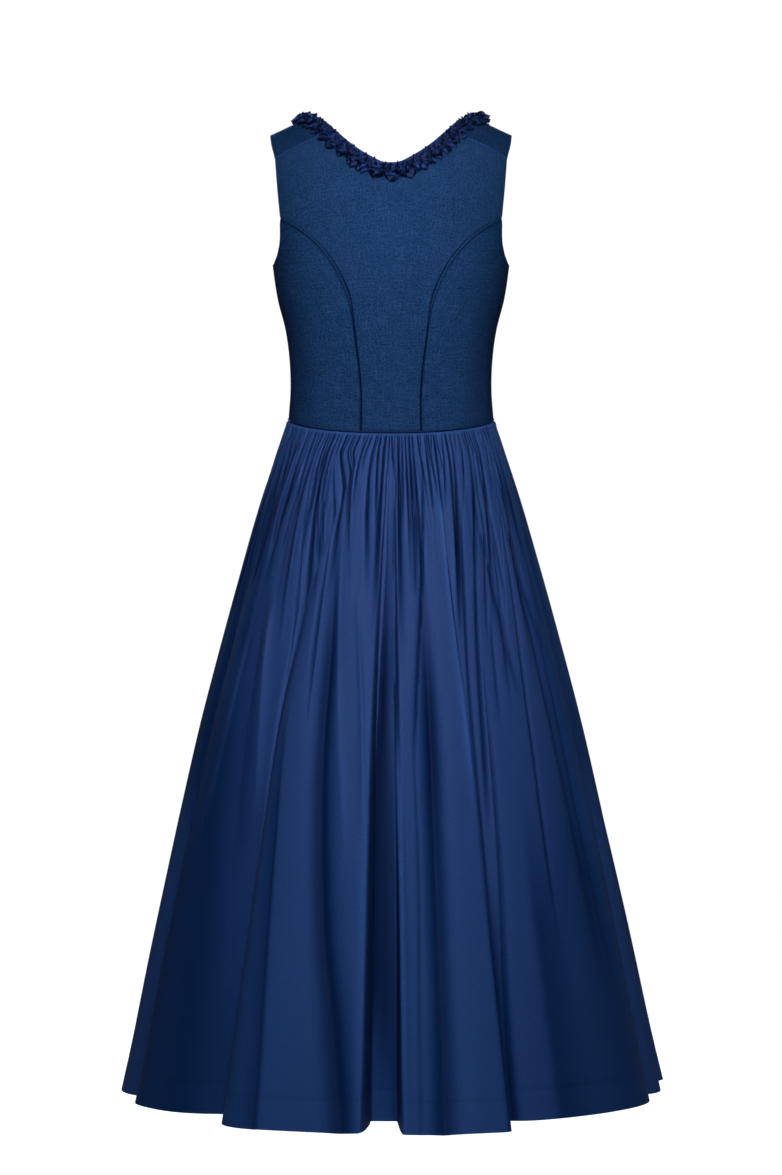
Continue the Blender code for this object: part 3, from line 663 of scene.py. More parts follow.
# ------------------------------------------------------------------------------------------------
# Fronts: two panels of the same cloth that meet edge to edge over hidden hooks. Each is cut in one
# with its strap, which runs over the shoulder and is sewn to the back a little behind the ridge.
# ------------------------------------------------------------------------------------------------
FRONT_ARMHOLE = [(0.1430, 0.2560), (0.1415, 0.2950), (0.1480, 0.3450), (0.1640, 0.3870)]
FRONT_NECK = [
    (0.0000, 0.2170),
    (0.0160, 0.2178),
    (0.0400, 0.2245),
    (0.0690, 0.2465),
    (0.0895, 0.2935),
    (0.1020, 0.3540),
    (0.1100, 0.4090),
]
STRAP_NECK_SIDE = [(0.1100, 0.4090), (0.0985, 0.3990), (0.0822, 0.3812)]
STRAP_ARM_SIDE = [(0.1640, 0.3870), (0.1620, 0.3720), (0.1560, 0.3480)]
CLOSING_GAP = 0.00005  # half of the gap where the fronts meet
FRONT_ROWS, FRONT_COLUMNS = 156, 60
seam_rows, arm_rows, strap_rows, centre_rows = 64, 72, 20, 48
# The strap carries painted shade where it turns down behind the ridge. Its end is turned under and
# pressed over the back, so that its edge is raised, and a painted highlight runs along that edge.
STRAP_END = {"darker": 0.34, "from": 0.070, "over": 0.030}
STRAP_EDGE = {"paler": 1.20, "reach": 0.0013, "rise": 0.0006, "rise_reach": 0.0030}

princess = on_profile(sampled(from_waist(FRONT_PRINCESS, False), seam_rows), False)
outer = joined(
    princess,
    on_profile(sampled(FRONT_ARMHOLE, arm_rows), False),
    on_profile(sampled(STRAP_ARM_SIDE, strap_rows), True),
)
front_neck = joined(
    on_profile(sampled(FRONT_NECK, FRONT_ROWS - centre_rows - strap_rows), False),
    on_profile(sampled(STRAP_NECK_SIDE, strap_rows), True),
)
waist_point = (0.0, float(waist_height(180.0)))
closing = on_profile(np.linspace(waist_point, FRONT_NECK[0], centre_rows + 1), False)
inner = joined(closing, front_neck)
top = on_profile(sampled(SHOULDER_SEAM, FRONT_COLUMNS), True)
side_angle = angle_at(FRONT_PRINCESS[0][0], FRONT_PRINCESS[0][1], False)
waist = waist_edge(180.0, side_angle, FRONT_COLUMNS)
bottom = on_profile(bodice_at(waist[:, 0], waist[:, 1])[:, [0, 2]], False)
bottom[-1], bottom[0] = outer[0], inner[0]
places = patch(bottom, top, inner, outer)
left = over_shoulder(places[..., 0], places[..., 1])
left[..., 0] = np.maximum(left[..., 0], CLOSING_GAP)
grain = np.stack([left[..., 0] * GRAIN_SPREAD, run_along(left, 0)], axis=-1)
left, shade = seamed_with_painted_shade(left, {"bottom": None, "last": seam_rows}, {"last": seam_rows})
from_seam = from_edges(left, {"top": None})
# Painted shade behind the ridge, and a painted highlight along the strap's raised edge.
darker = STRAP_END["darker"] * step_up((STRAP_END["from"] - from_seam) / STRAP_END["over"])
paler = STRAP_EDGE["paler"] * np.exp(-((from_seam / STRAP_EDGE["reach"]) ** 2))
shade = shade * (1.0 - darker + paler)
raised = STRAP_EDGE["rise"] * np.exp(-((from_seam / STRAP_EDGE["rise_reach"]) ** 2))
left = left + outward_of(left) * raised[..., None]
for side, shape in (("left", left), ("right", mirrored(left))):
    piece = sheet_of_cloth(f"front_{side}", shape, BODICE_WALL, grain, WOOL, shade)
    dressed(piece, f"bodice_front_{side}", "navy_wool", flat=(0.170, 0.560), area=0.043)

# ------------------------------------------------------------------------------------------------
# Piping of the two curved back seams: a fine cord in a bias strip of the same cloth, let into the
# seam. It stands up beside the blades and sinks into the seam towards the waist.
# ------------------------------------------------------------------------------------------------
PIPING_STEPS, PIPING_SIDES = 220, 20
PIPING_TRIM = np.s_[3:-2]  # the cord stops a little short of the waist and of the armhole
STRIP_GIRTH = 0.008  # round a cord, of the strip that covers it
TUBE_SHARP_FROM = 60.0
STEP = 1e-5  # short enough to take a direction of the surface from
# It carries painted shade where it is sunk, and a painted highlight on its crown from this
# height on.
SUNK_SHADE, CROWN_SHADE, CROWN_FROM, CROWN_OVER = 0.06, 1.30, -0.0001, 0.0010
# Level, half width, and how high the cord stands over the panels' face.
PIPING = np.array([
    (-0.030, 0.00060, -0.00020),
    (0.110, 0.00070, -0.00010),
    (0.150, 0.00130, 0.00060),
    (0.190, 0.00175, 0.00120),
    (0.280, 0.00185, 0.00130),
])


def directions_at(path):
    """How a point of the bodice moves with x, and with its place on the profile."""
    x, place = path[:, 0], path[:, 1]
    along_x = over_shoulder(x + STEP, place) - over_shoulder(x - STEP, place)
    return along_x, over_shoulder(x, place + STEP) - over_shoulder(x, place - STEP)


def frame_of(path):
    """Points of a path on the bodice, with the directions outward, ahead and across at each."""
    outward = np.cross(*directions_at(path))
    outward /= np.linalg.norm(outward, axis=-1, keepdims=True)
    here = over_shoulder(path[:, 0], path[:, 1])
    ahead = np.gradient(here, axis=0)
    ahead /= np.linalg.norm(ahead, axis=-1, keepdims=True)
    return here, outward, ahead, np.cross(ahead, outward)


def tube(name, rings, girth, material, shade):
    """A closed tube through rings of points. The grain runs round it, and along it in metres."""
    count, sides = rings.shape[:2]
    index = np.arange(count * sides).reshape(count, sides)
    looped = np.concatenate([index, index[:, :1]], axis=1)
    faces = faces_between(looped).tolist() + [index[0, ::-1].tolist(), index[-1].tolist()]
    mesh = bpy.data.meshes.new(name)
    mesh.from_pydata(in_place(rings.reshape(-1, 3)).tolist(), [], faces)
    outwards(mesh)
    middle = rings.mean(axis=1)
    length = np.concatenate([[0.0], np.cumsum(np.linalg.norm(np.diff(middle, axis=0), axis=1))])
    corners = np.zeros(len(mesh.loops), np.int32)
    mesh.loops.foreach_get("vertex_index", corners)
    turn, along = corners % sides, length[corners // sides]
    of_face = turn[: (count - 1) * sides * 4].reshape(-1, 4)
    wraps = (of_face == 0) & (of_face.max(axis=1, keepdims=True) == sides - 1)
    turn[: of_face.size] = (of_face + wraps * sides).ravel()
    threads = np.stack([turn / sides * girth, along], axis=1)
    painted_shades = np.broadcast_to(shade, rings.shape[:2])
    return of_cloth(name, mesh, threads, painted_shades, material, TUBE_SHARP_FROM)


def outwards(mesh):
    """Turns every face of a closed mesh outwards."""
    shape = bmesh.new()
    shape.from_mesh(mesh)
    bmesh.ops.recalc_face_normals(shape, faces=shape.faces)
    shape.to_mesh(mesh)
    shape.free()


path = on_profile(sampled(from_waist(BACK_PRINCESS, True), PIPING_STEPS), True)
here, outward, ahead, across = (part[PIPING_TRIM, None] for part in frame_of(path))
half_widths, heights = (
    smooth(PIPING[:, 0], PIPING[:, k], here[..., 2])[..., None] for k in (1, 2)
)
turns = (np.arange(PIPING_SIDES) / PIPING_SIDES * math.tau)[None, :, None]
rings = (
    here
    + across * np.cos(turns) * half_widths
    + outward * (np.sin(turns) * half_widths + heights - half_widths)
)
crown = np.clip(np.sin(turns[0, :, 0]), 0.0, 1.0) ** 4
raised = step_up((heights[:, 0] - CROWN_FROM) / CROWN_OVER)
# Painted shade on the sunk cord, and a painted highlight on its crown.
shade = SUNK_SHADE + CROWN_SHADE * raised * crown[None, :]
for side, turn in (("left", np.array), ("right", mirrored)):
    piping = tube(f"back_piping_cord_{side}", turn(rings), STRIP_GIRTH, WOOL, shade)
    dressed(piping, f"back_piping_{side}", "navy_wool")

# ------------------------------------------------------------------------------------------------
# Neck band: a folded bias strip of satin that binds the neck edge all round, from the front over
# the shoulders to the back.
# ------------------------------------------------------------------------------------------------
BAND_WIDTH = 0.0080
BAND_SWELL = 0.0005  # how far the folded strip stands out from the panels
BAND_PUCKER = {"depth": 0.00018, "pitch": 0.0064, "stray": 2.0, "stray_pitch": 0.019}
BAND_GAP = 0.0003  # between the neck edge of the panels and the strip's middle side
BAND_SQUARE = (0.75, 0.6)  # how square the folded strip is, across and in depth; 1 is round
BAND_GIRTH = 0.020
BAND_STEPS, BAND_SIDES = 1200, 20
NECK_STEPS = 700  # stations of the left half of the neck edge
FRONT_SAMPLES, STRAP_SAMPLES, BACK_SAMPLES = 60, 16, 40  # of its three stretches
INSETS = np.linspace(-0.010, 0.024, 35)  # distances into the cloth at which the neck is worked out


def neck_stations():
    """Even stations of the left half of the neck edge, from the front over the shoulder."""
    path = joined(
        on_profile(sampled(FRONT_NECK, FRONT_SAMPLES), False),
        on_profile(sampled(STRAP_NECK_SIDE, STRAP_SAMPLES), True),
        on_profile(sampled(BACK_NECK, BACK_SAMPLES), True)[::-1],
    )
    points = over_shoulder(path[:, 0], path[:, 1])
    run = np.concatenate([[0.0], np.cumsum(np.linalg.norm(np.diff(points, axis=0), axis=1))])
    at = np.linspace(0.0, run[-1], NECK_STEPS + 1)
    return np.stack([np.interp(at, run, path[:, k]) for k in (0, 1)], axis=-1), run[-1]


def beside(path, into):
    """Points of the bodice so far from a path into the cloth, and the directions outward there."""
    across = frame_of(path)[3]
    slopes = np.stack([d / (2 * STEP) for d in directions_at(path)], axis=-1)
    moved = path + np.einsum("kij,kj->ki", np.linalg.pinv(slopes), across) * into
    return frame_of(moved)[:2]


neck, half_neck = neck_stations()
neck_points, neck_outward = (
    np.stack(parts) for parts in zip(*(beside(neck, inset) for inset in INSETS))
)


def round_neck(along, into, lift):
    """Points round the whole neck: so far along it from the centre front, into the cloth and up."""
    along, into, lift = np.broadcast_arrays(along, into, lift)
    on_right = along > half_neck
    share = np.where(on_right, 2 * half_neck - along, along) / half_neck
    station = np.clip(share, 0, 1) * NECK_STEPS
    inset = np.clip((into - INSETS[0]) / (INSETS[1] - INSETS[0]), 0, len(INSETS) - 1)
    i = np.minimum(inset.astype(int), len(INSETS) - 2)
    j = np.minimum(station.astype(int), NECK_STEPS - 1)
    a, b = (inset - i)[..., None], (station - j)[..., None]
    found = []
    for grid in (neck_points, neck_outward):
        near = grid[i, j] * (1 - b) + grid[i, j + 1] * b
        far = grid[i + 1, j] * (1 - b) + grid[i + 1, j + 1] * b
        found.append(near * (1 - a) + far * a)
    point = found[0] + found[1] * lift[..., None]
    return np.where(on_right[..., None], mirrored(point), point)


TRIM_DARK = (0.0036, 0.0130, 0.0570, 1.0)
TRIM_LIGHT = (0.0095, 0.0260, 0.1050, 1.0)


def trim_satin():
    """Dark navy satin with a purple cast, close-woven, with a soft sheen on its creases from its
    gloss and from painted highlights, and painted shade in its pleats and loops.
    """
    material, tree, shader = new_material(
        "navy trim satin", roughness=0.52, specular=0.20, tint=(0.30, 0.42, 1.0, 1.0)
    )
    grain = node(tree, "ShaderNodeUVMap", {"uv_map": "grain"}).outputs[0]
    shaded(tree, between(tree, noise(tree, grain, 160.0, 3.0), TRIM_DARK, TRIM_LIGHT), shader)
    return material


TRIM = trim_satin()

turns = np.arange(BAND_SIDES) / BAND_SIDES * math.tau
across, deep = (
    np.sign(wave) * np.abs(wave) ** square
    for wave, square in zip((np.cos(turns), np.sin(turns)), BAND_SQUARE)
)
half_band, half_thick = (BAND_WIDTH - BAND_GAP) / 2, BODICE_WALL / 2 + BAND_SWELL
into = -BAND_GAP - half_band - half_band * across
lift = -BODICE_WALL / 2 + half_thick * deep
along = np.linspace(CLOSING_GAP * 2, 2 * half_neck - CLOSING_GAP * 2, BAND_STEPS)[:, None]
stray = BAND_PUCKER["stray"] * np.sin(along / BAND_PUCKER["stray_pitch"])
wrinkle = BAND_PUCKER["depth"] * np.sin(along / BAND_PUCKER["pitch"] * math.tau + stray)
rings = round_neck(along, into[None, :], lift[None, :] + wrinkle * np.sin(turns)[None, :])
band = tube("neck_binding", rings, BAND_GIRTH, TRIM, 1.0)
dressed(band, "neck_band", "navy_trim", flat=(0.010, 0.978))

# ------------------------------------------------------------------------------------------------
# Neck ruche: a strip of satin, box-pleated and pinched together along its middle, so that its edges
# stand up in rows of small pointed loops. It is sewn on over the band's seam, all round the neck.
# ------------------------------------------------------------------------------------------------
RUCHE_COLUMNS, RUCHE_ROWS = 1400, 10
RUCHE_SPAN = (-0.0030, 0.0125)  # of the pleated strip itself, from the neck seam into the cloth
RUCHE_INSET = 0.0006  # of its ends from the closing
RUCHE_THICKNESS = 0.00035
# Its pleats: space between them, how far they stray and over which length, how far the strip stands
# over the bodice, and how deep they are, in its middle and beside it.
PLEATS = {
    "pitch": 0.0047, "stray": 2.2, "stray_pitch": 0.017,
    "over": 0.0011, "depth": 0.0009, "deeper": 0.0006,
}
PLEAT_EDGE = {"stray": 0.0008, "pitch": 0.004}  # of the strip's lower edge
PLEAT_SHADE = (0.08, 0.30)  # painted shade in the depth of a pleat and on its crest


def named(columns, rows):
    """The rows of a table with the names of its columns."""
    return [dict(zip(columns.split(), row)) for row in rows]


# Rows of loops: where they start and end from the neck seam, space along it, width, height, how far
# they stand off, turn, how much they lean to alternate sides, and seed.
LOOPS = named("root tip space width height off turn zigzag seed", [
    (0.0070, 0.0206, 0.0092, 0.0096, 0.0034, 0.0010, 18.0, 20.0, 3),
    (0.0070, 0.0160, 0.0082, 0.0078, 0.0036, 0.0030, 28.0, 34.0, 8),
    (0.0090, -0.0042, 0.0072, 0.0085, 0.0032, 0.0020, 28.0, 32.0, 9),
    (0.0045, 0.0108, 0.0056, 0.0064, 0.0030, 0.0042, 75.0, 20.0, 5),
    (0.0020, -0.0078, 0.0070, 0.0056, 0.0024, 0.0010, 40.0, 20.0, 12),
])
LOOP_GRID = 7
LOOP_MARGIN, LOOP_CLEAR = 0.004, 0.0004  # from the closing to the end loops, and to their cloth
LOOP_PAST_EDGE, LOOP_LIFT = 0.0098, 0.0002  # furthest over the neck edge, and up from the bodice
# What varies from loop to loop: each is drawn between these two.
LOOP_VARIES = {
    "shift": (-0.22, 0.22),
    "size": (0.80, 1.18),
    "tall": (0.7, 1.3),
    "turn": (-1.0, 1.0),
    "fold_at": (-0.40, 0.40),
    "fold": (0.16, 0.32),
    "hollow": (0.3, 0.9),
    "tilt": (-0.45, 0.45),
    "curl": (-0.3, 0.6),
    "length": (0.88, 1.10),
    "crinkles_across": (3.5, 6.0),
    "crinkles_out": (-5.0, 5.0),
    "crinkles_from": (0.0, 6.3),
    "light": (0.6, 1.4),
}
# The share of a leaf's outline that a loop shows, when it points into the cloth or over the edge.
LEAF_INTO, LEAF_OVER = (0.28, 0.985), (0.13, 0.93)
# Painted shade and highlight of a loop: least and most, ground, lit side, crease and sides.
LOOP_SHADE = {"least": 0.05, "most": 1.7, "ground": 0.08, "lit": 1.25, "fold": 1.2, "sides": 0.75}
SHOULDER_BUNCH = {"taller": 1.3, "longer": 0.0075, "reach": 0.028}  # of the loops over the ridge


def uneven(positions, pitch, seed):
    """A smooth random value between -1 and 1 that changes every pitch along a line."""
    rng = np.random.default_rng(seed)
    values = rng.uniform(-1.0, 1.0, int(positions.max() / pitch) + 3)
    at = positions / pitch
    k = at.astype(int)
    return values[k] + (values[k + 1] - values[k]) * step_up(at - k)


def pleated_strip():
    """The strip under the loops: narrow pleats, deeper towards its two edges, with painted shade.
    """
    along = np.linspace(RUCHE_INSET, 2 * half_neck - RUCHE_INSET, RUCHE_COLUMNS + 1)[None, :]
    share = np.linspace(0.0, 1.0, RUCHE_ROWS + 1)[:, None]
    into = RUCHE_SPAN[0] + (RUCHE_SPAN[1] - RUCHE_SPAN[0]) * share
    into = into + PLEAT_EDGE["stray"] * uneven(along, PLEAT_EDGE["pitch"], 2) * share
    stray = PLEATS["stray"] * uneven(along, PLEATS["stray_pitch"], 4)
    crest = 1.0 + np.sin(along / PLEATS["pitch"] * math.tau + stray + 1.5 * share)
    deep = PLEATS["depth"] + PLEATS["deeper"] * np.abs(share - 0.4)
    low, high = PLEAT_SHADE
    shade = low + (high - low) * crest / 2.0
    return round_neck(along, into, PLEATS["over"] + deep * crest), shade


def loops_of(row):
    """One row of pinched loops: each a leaf of cloth with a pointed tip, folded along a crease,
    with its sides turned under. It carries painted shade in its crease, at its sides and its root,
    and a painted highlight on one side of the crease."""
    rng = np.random.default_rng(row["seed"])
    across = np.linspace(-1.0, 1.0, LOOP_GRID)[None, :]
    out = np.linspace(0.0, 1.0, LOOP_GRID)[:, None]
    span = row["tip"] - row["root"]
    begin, end = LEAF_INTO if span > 0 else LEAF_OVER
    outline = np.sin(math.pi * (begin + (end - begin) * out)) ** 0.85
    edge = neck_points[np.argmin(np.abs(INSETS))]
    ridge_at = np.argmax(edge[:, 2]) / NECK_STEPS * half_neck

    def drawn(*names):
        return [rng.uniform(*LOOP_VARIES[name]) for name in names]

    for k in range(int((2 * half_neck - 2 * LOOP_MARGIN) / row["space"])):
        shift, size, tall, turn = drawn("shift", "size", "tall", "turn")
        fold_at, fold, hollow, tilt, curl = drawn("fold_at", "fold", "hollow", "tilt", "curl")
        lit, (length,) = rng.choice((-1.0, 1.0)), drawn("length")
        crinkles_across, crinkles_out, crinkles_from, light = drawn(
            "crinkles_across", "crinkles_out", "crinkles_from", "light"
        )
        along = LOOP_MARGIN + (k + 0.5 + shift) * row["space"]
        near_ridge = min(abs(along - ridge_at), abs(2 * half_neck - along - ridge_at))
        bunch = math.exp(-((near_ridge / SHOULDER_BUNCH["reach"]) ** 2))
        turn = math.radians(turn * row["turn"] + row["zigzag"] * (-1) ** k)
        length *= span
        if span > 0:
            length += SHOULDER_BUNCH["longer"] * bunch
        half = 0.5 * row["width"] * size * outline
        x = along + across * half * math.cos(turn) + length * out * math.sin(turn)
        into = row["root"] + length * out * math.cos(turn) - across * half * math.sin(turn)
        # Its height: a dome with a hollow along the crease, tilted, curled up at the tip, crinkled.
        beside_fold = across - fold_at * (1 - 0.5 * out)
        line = np.exp(-((beside_fold / fold) ** 2)) * step_up((1.05 - out) / 0.35)
        dome = np.sin(math.pi * (0.06 + 0.80 * out)) ** 0.6 * (1 - np.abs(across) ** 1.5)
        crinkle = np.sin(across * crinkles_across + out * crinkles_out + crinkles_from)
        dome = dome * (1 - hollow * line) + tilt * across * (1 - out)
        dome = dome + curl * out**3 + 0.16 * crinkle
        tall *= row["height"] * (1 + SHOULDER_BUNCH["taller"] * bunch)
        high = row["off"] * (1 + 0.5 * (k % 2)) + tall * np.clip(dome, -0.2, 1.6)
        # Its painted light and shade: a painted highlight on one side of the crease, painted shade
        # in the crease, at its sides and its root.
        shade = LOOP_SHADE["lit"] * step_up(0.5 + lit * beside_fold / 0.5) * (1 + 0.6 * crinkle)
        shade = LOOP_SHADE["ground"] + shade - LOOP_SHADE["fold"] * line * hollow
        shade = shade * (1 - LOOP_SHADE["sides"] * np.abs(across) ** 4)
        shade = shade * (0.25 + 0.75 * step_up(out / 0.4)) * light
        shade = np.clip(shade, LOOP_SHADE["least"], LOOP_SHADE["most"])
        x = np.clip(x, LOOP_CLEAR, 2 * half_neck - LOOP_CLEAR)
        into = np.maximum(into, -LOOP_PAST_EDGE)
        yield round_neck(x, into, high + LOOP_LIFT), shade


def shells(name, sheets, thickness, material):
    """Many small closed sheets of cloth as one mesh."""
    made = []
    for k, (points, shade) in enumerate(sheets):
        grain = np.stack([run_along(points, 1), run_along(points, 0)], axis=-1) + 0.013 * k
        made.append(sheet_of_cloth(f"{name}_{k}", points, thickness, grain, material, shade))
    with bpy.context.temp_override(active_object=made[0], selected_editable_objects=made):
        bpy.ops.object.join()
    made[0].name = name
    return made[0]


sheets = [pleated_strip()]
for row in LOOPS:
    sheets += list(loops_of(row))
ruche = shells("neck_ruche_strip", sheets, RUCHE_THICKNESS, TRIM)
dressed(
    ruche, "neck_ruche", "navy_trim",
    flat=(0.050, 2.000), held="gathered", rests_on=["bodice_back"],
)

# ------------------------------------------------------------------------------------------------
# Waist cord: a thin cord in a bias strip of the skirt's cotton satin, let into the waist seam
# between bodice and gathers. It is open at the centre front, where the dress closes.
# ------------------------------------------------------------------------------------------------
WAIST_CORD_RADIUS = 0.0009
WAIST_CORD_LIFT = 0.0003  # of its middle over the bodice's face
WAIST_CORD_RISE = 0.0012  # of its middle over the waist seam
WAIST_CORD_SHADE = 0.35  # painted shade, for the shadow of the gathers it lies in
WAIST_STEPS, WAIST_CORD_SIDES = 260, 12
SATIN_DARK = (0.0115, 0.0380, 0.126, 1.0)
SATIN_LIGHT = (0.0168, 0.0505, 0.159, 1.0)


def cotton_satin():
    """Navy cotton satin: smooth, close-woven, with a soft sheen that follows the folds, from its
    gloss and from painted highlights, and painted shade in its folds and gathers.
    """
    material, tree, shader = new_material(
        "navy cotton satin", roughness=0.60, specular=0.22, tint=(0.30, 0.46, 1.0, 1.0)
    )
    sizes = {"Thread": 0.00045, "Slub length": 0.030}
    threads = woven(tree, shader, strength=0.10, distance=0.0002, **sizes)
    shaded(tree, between(tree, threads["Mottle"], SATIN_DARK, SATIN_LIGHT), shader)
    return material


SATIN = cotton_satin()

closed_at = 180.0 - math.degrees(CLOSING_GAP / half_width(0.0))
degrees = np.linspace(closed_at, 0.0, WAIST_STEPS + 1)
height = waist_height(degrees) + WAIST_CORD_RISE
here = bodice_at(degrees, height)
turned = 100.0 * STEP  # in degrees
round_body = bodice_at(degrees + turned, height) - bodice_at(degrees - turned, height)
upwards = bodice_at(degrees, height + STEP) - bodice_at(degrees, height - STEP)
outward = np.cross(upwards, round_body)
outward /= np.linalg.norm(outward, axis=-1, keepdims=True)
upwards /= np.linalg.norm(upwards, axis=-1, keepdims=True)
turns = (np.arange(WAIST_CORD_SIDES) / WAIST_CORD_SIDES * math.tau)[None, :, None]
left = here[:, None] + (
    outward[:, None] * (np.cos(turns) * WAIST_CORD_RADIUS + WAIST_CORD_LIFT)
    + upwards[:, None] * np.sin(turns) * WAIST_CORD_RADIUS
)
left[-1, :, 0] = 0.0
rings = np.concatenate([left, mirrored(left)[-2::-1]])
cord = tube("waist_cord", rings, STRIP_GIRTH, SATIN, WAIST_CORD_SHADE)
dressed(cord, "waist_piping", "navy_satin")

# ------------------------------------------------------------------------------------------------
# Skirt: one back width and two front widths of smooth cotton satin, gathered into the waist seam.
# Fine gathers run together into larger folds below, and the hem is turned up 40 mm inside.
# ------------------------------------------------------------------------------------------------
HEM_DROP, HEM_DEPTH, HEM_TURN = 0.908, 0.267, 0.040  # from the side waist, from the middle, inside
HEM_AT = 1.0 - HEM_TURN / HEM_DROP  # share of the way down of the stitches that hold the hem
HEM_LAYERS = 2.6  # thickness of the turned hem over that of the cloth
SKIRT_WALL = 0.0006
WAIST_TUCK = 0.0003  # how far below and within the waist seam the skirt starts
# Share of the way down, half width between the sides.
FLARE = np.array([
    (0.00, 0.1392),
    (0.03, 0.1485),
    (0.06, 0.1572),
    (0.12, 0.1742),
    (0.21, 0.1972),
    (0.33, 0.2252),
    (0.45, 0.2512),
    (0.57, 0.2737),
    (0.69, 0.2947),
    (0.81, 0.3147),
    (0.93, 0.3337),
    (1.00, 0.3460),
])
# The largest folds, as in the frame: degrees at the hem and at the waist, rise and steepness.
FOLDS = named("hem_from hem_to waist_from waist_to rise steep_from steep_to", [
    (-76.0, -20.6, -70.0, -21.5, 0.034, 4.0, 10.0),
    (-20.2, -1.3, -20.9, -1.5, 0.099, 24.0, 60.0),
    (4.0, 35.0, 0.5, 11.0, 0.088, 90.0, 4.6),
    (36.5, 71.0, 12.0, 60.0, 0.034, 2.6, 4.0),
    (73.0, 105.0, 63.0, 102.0, 0.020, 3.0, 3.0),
    (106.0, 132.0, 104.0, 128.0, 0.044, 4.0, 5.0),
    (135.0, 148.0, 130.0, 144.0, 0.026, 3.0, 3.0),
    (150.0, 173.0, 146.0, 174.0, 0.078, 6.0, 8.0),
    (180.0, 206.0, 180.0, 209.0, 0.066, 3.0, 7.0),
    (209.0, 238.0, 212.0, 236.0, 0.032, 3.0, 4.0),
    (240.0, 262.0, 238.0, 264.0, 0.044, 6.0, 4.0),
    (264.0, 284.0, 266.0, 290.0, 0.020, 3.0, 3.0),
])
# How softly a fold starts beside its edges, how late it grows, and how soon it swings into place.
FOLD_EDGE, FOLD_GROWTH, FOLD_SWING = 1.3, 1.25, 1.6

# How the lines of cloth run: those that end at these degrees on the hem start so many degrees
# further round at the waist, and come home within this share of the way down, this steeply.
CLOTH_RUN = np.array([
    (-90.0, 0.0, 0.20, 1.4),
    (-78.0, -6.0, 0.20, 1.4),
    (-60.0, -17.0, 0.20, 1.4),
    (-40.0, -23.0, 0.19, 1.3),
    (-28.0, -19.0, 0.18, 1.3),
    (-22.2, -15.0, 0.17, 1.3),
    (-20.4, -5.0, 0.18, 1.3),
    (-19.0, -1.0, 0.18, 1.3),
    (-10.0, 0.0, 0.15, 1.2),
    (0.0, 0.0, 0.15, 1.2),
    (3.4, 0.8, 0.15, 1.2),
    (4.2, 10.0, 0.14, 1.2),
    (5.5, 27.0, 0.13, 1.2),
    (12.0, 25.5, 0.12, 1.2),
    (22.0, 22.0, 0.12, 1.2),
    (30.0, 19.0, 0.20, 1.5),
    (39.0, 17.0, 0.28, 1.7),
    (54.0, 14.0, 0.28, 1.7),
    (70.0, 8.0, 0.30, 1.7),
    (82.0, 3.0, 0.30, 1.7),
    (90.0, 0.0, 0.30, 1.7),
])
CLOTH_RUN_FROM = 0.03  # share of the way down to which the lines of cloth keep aside
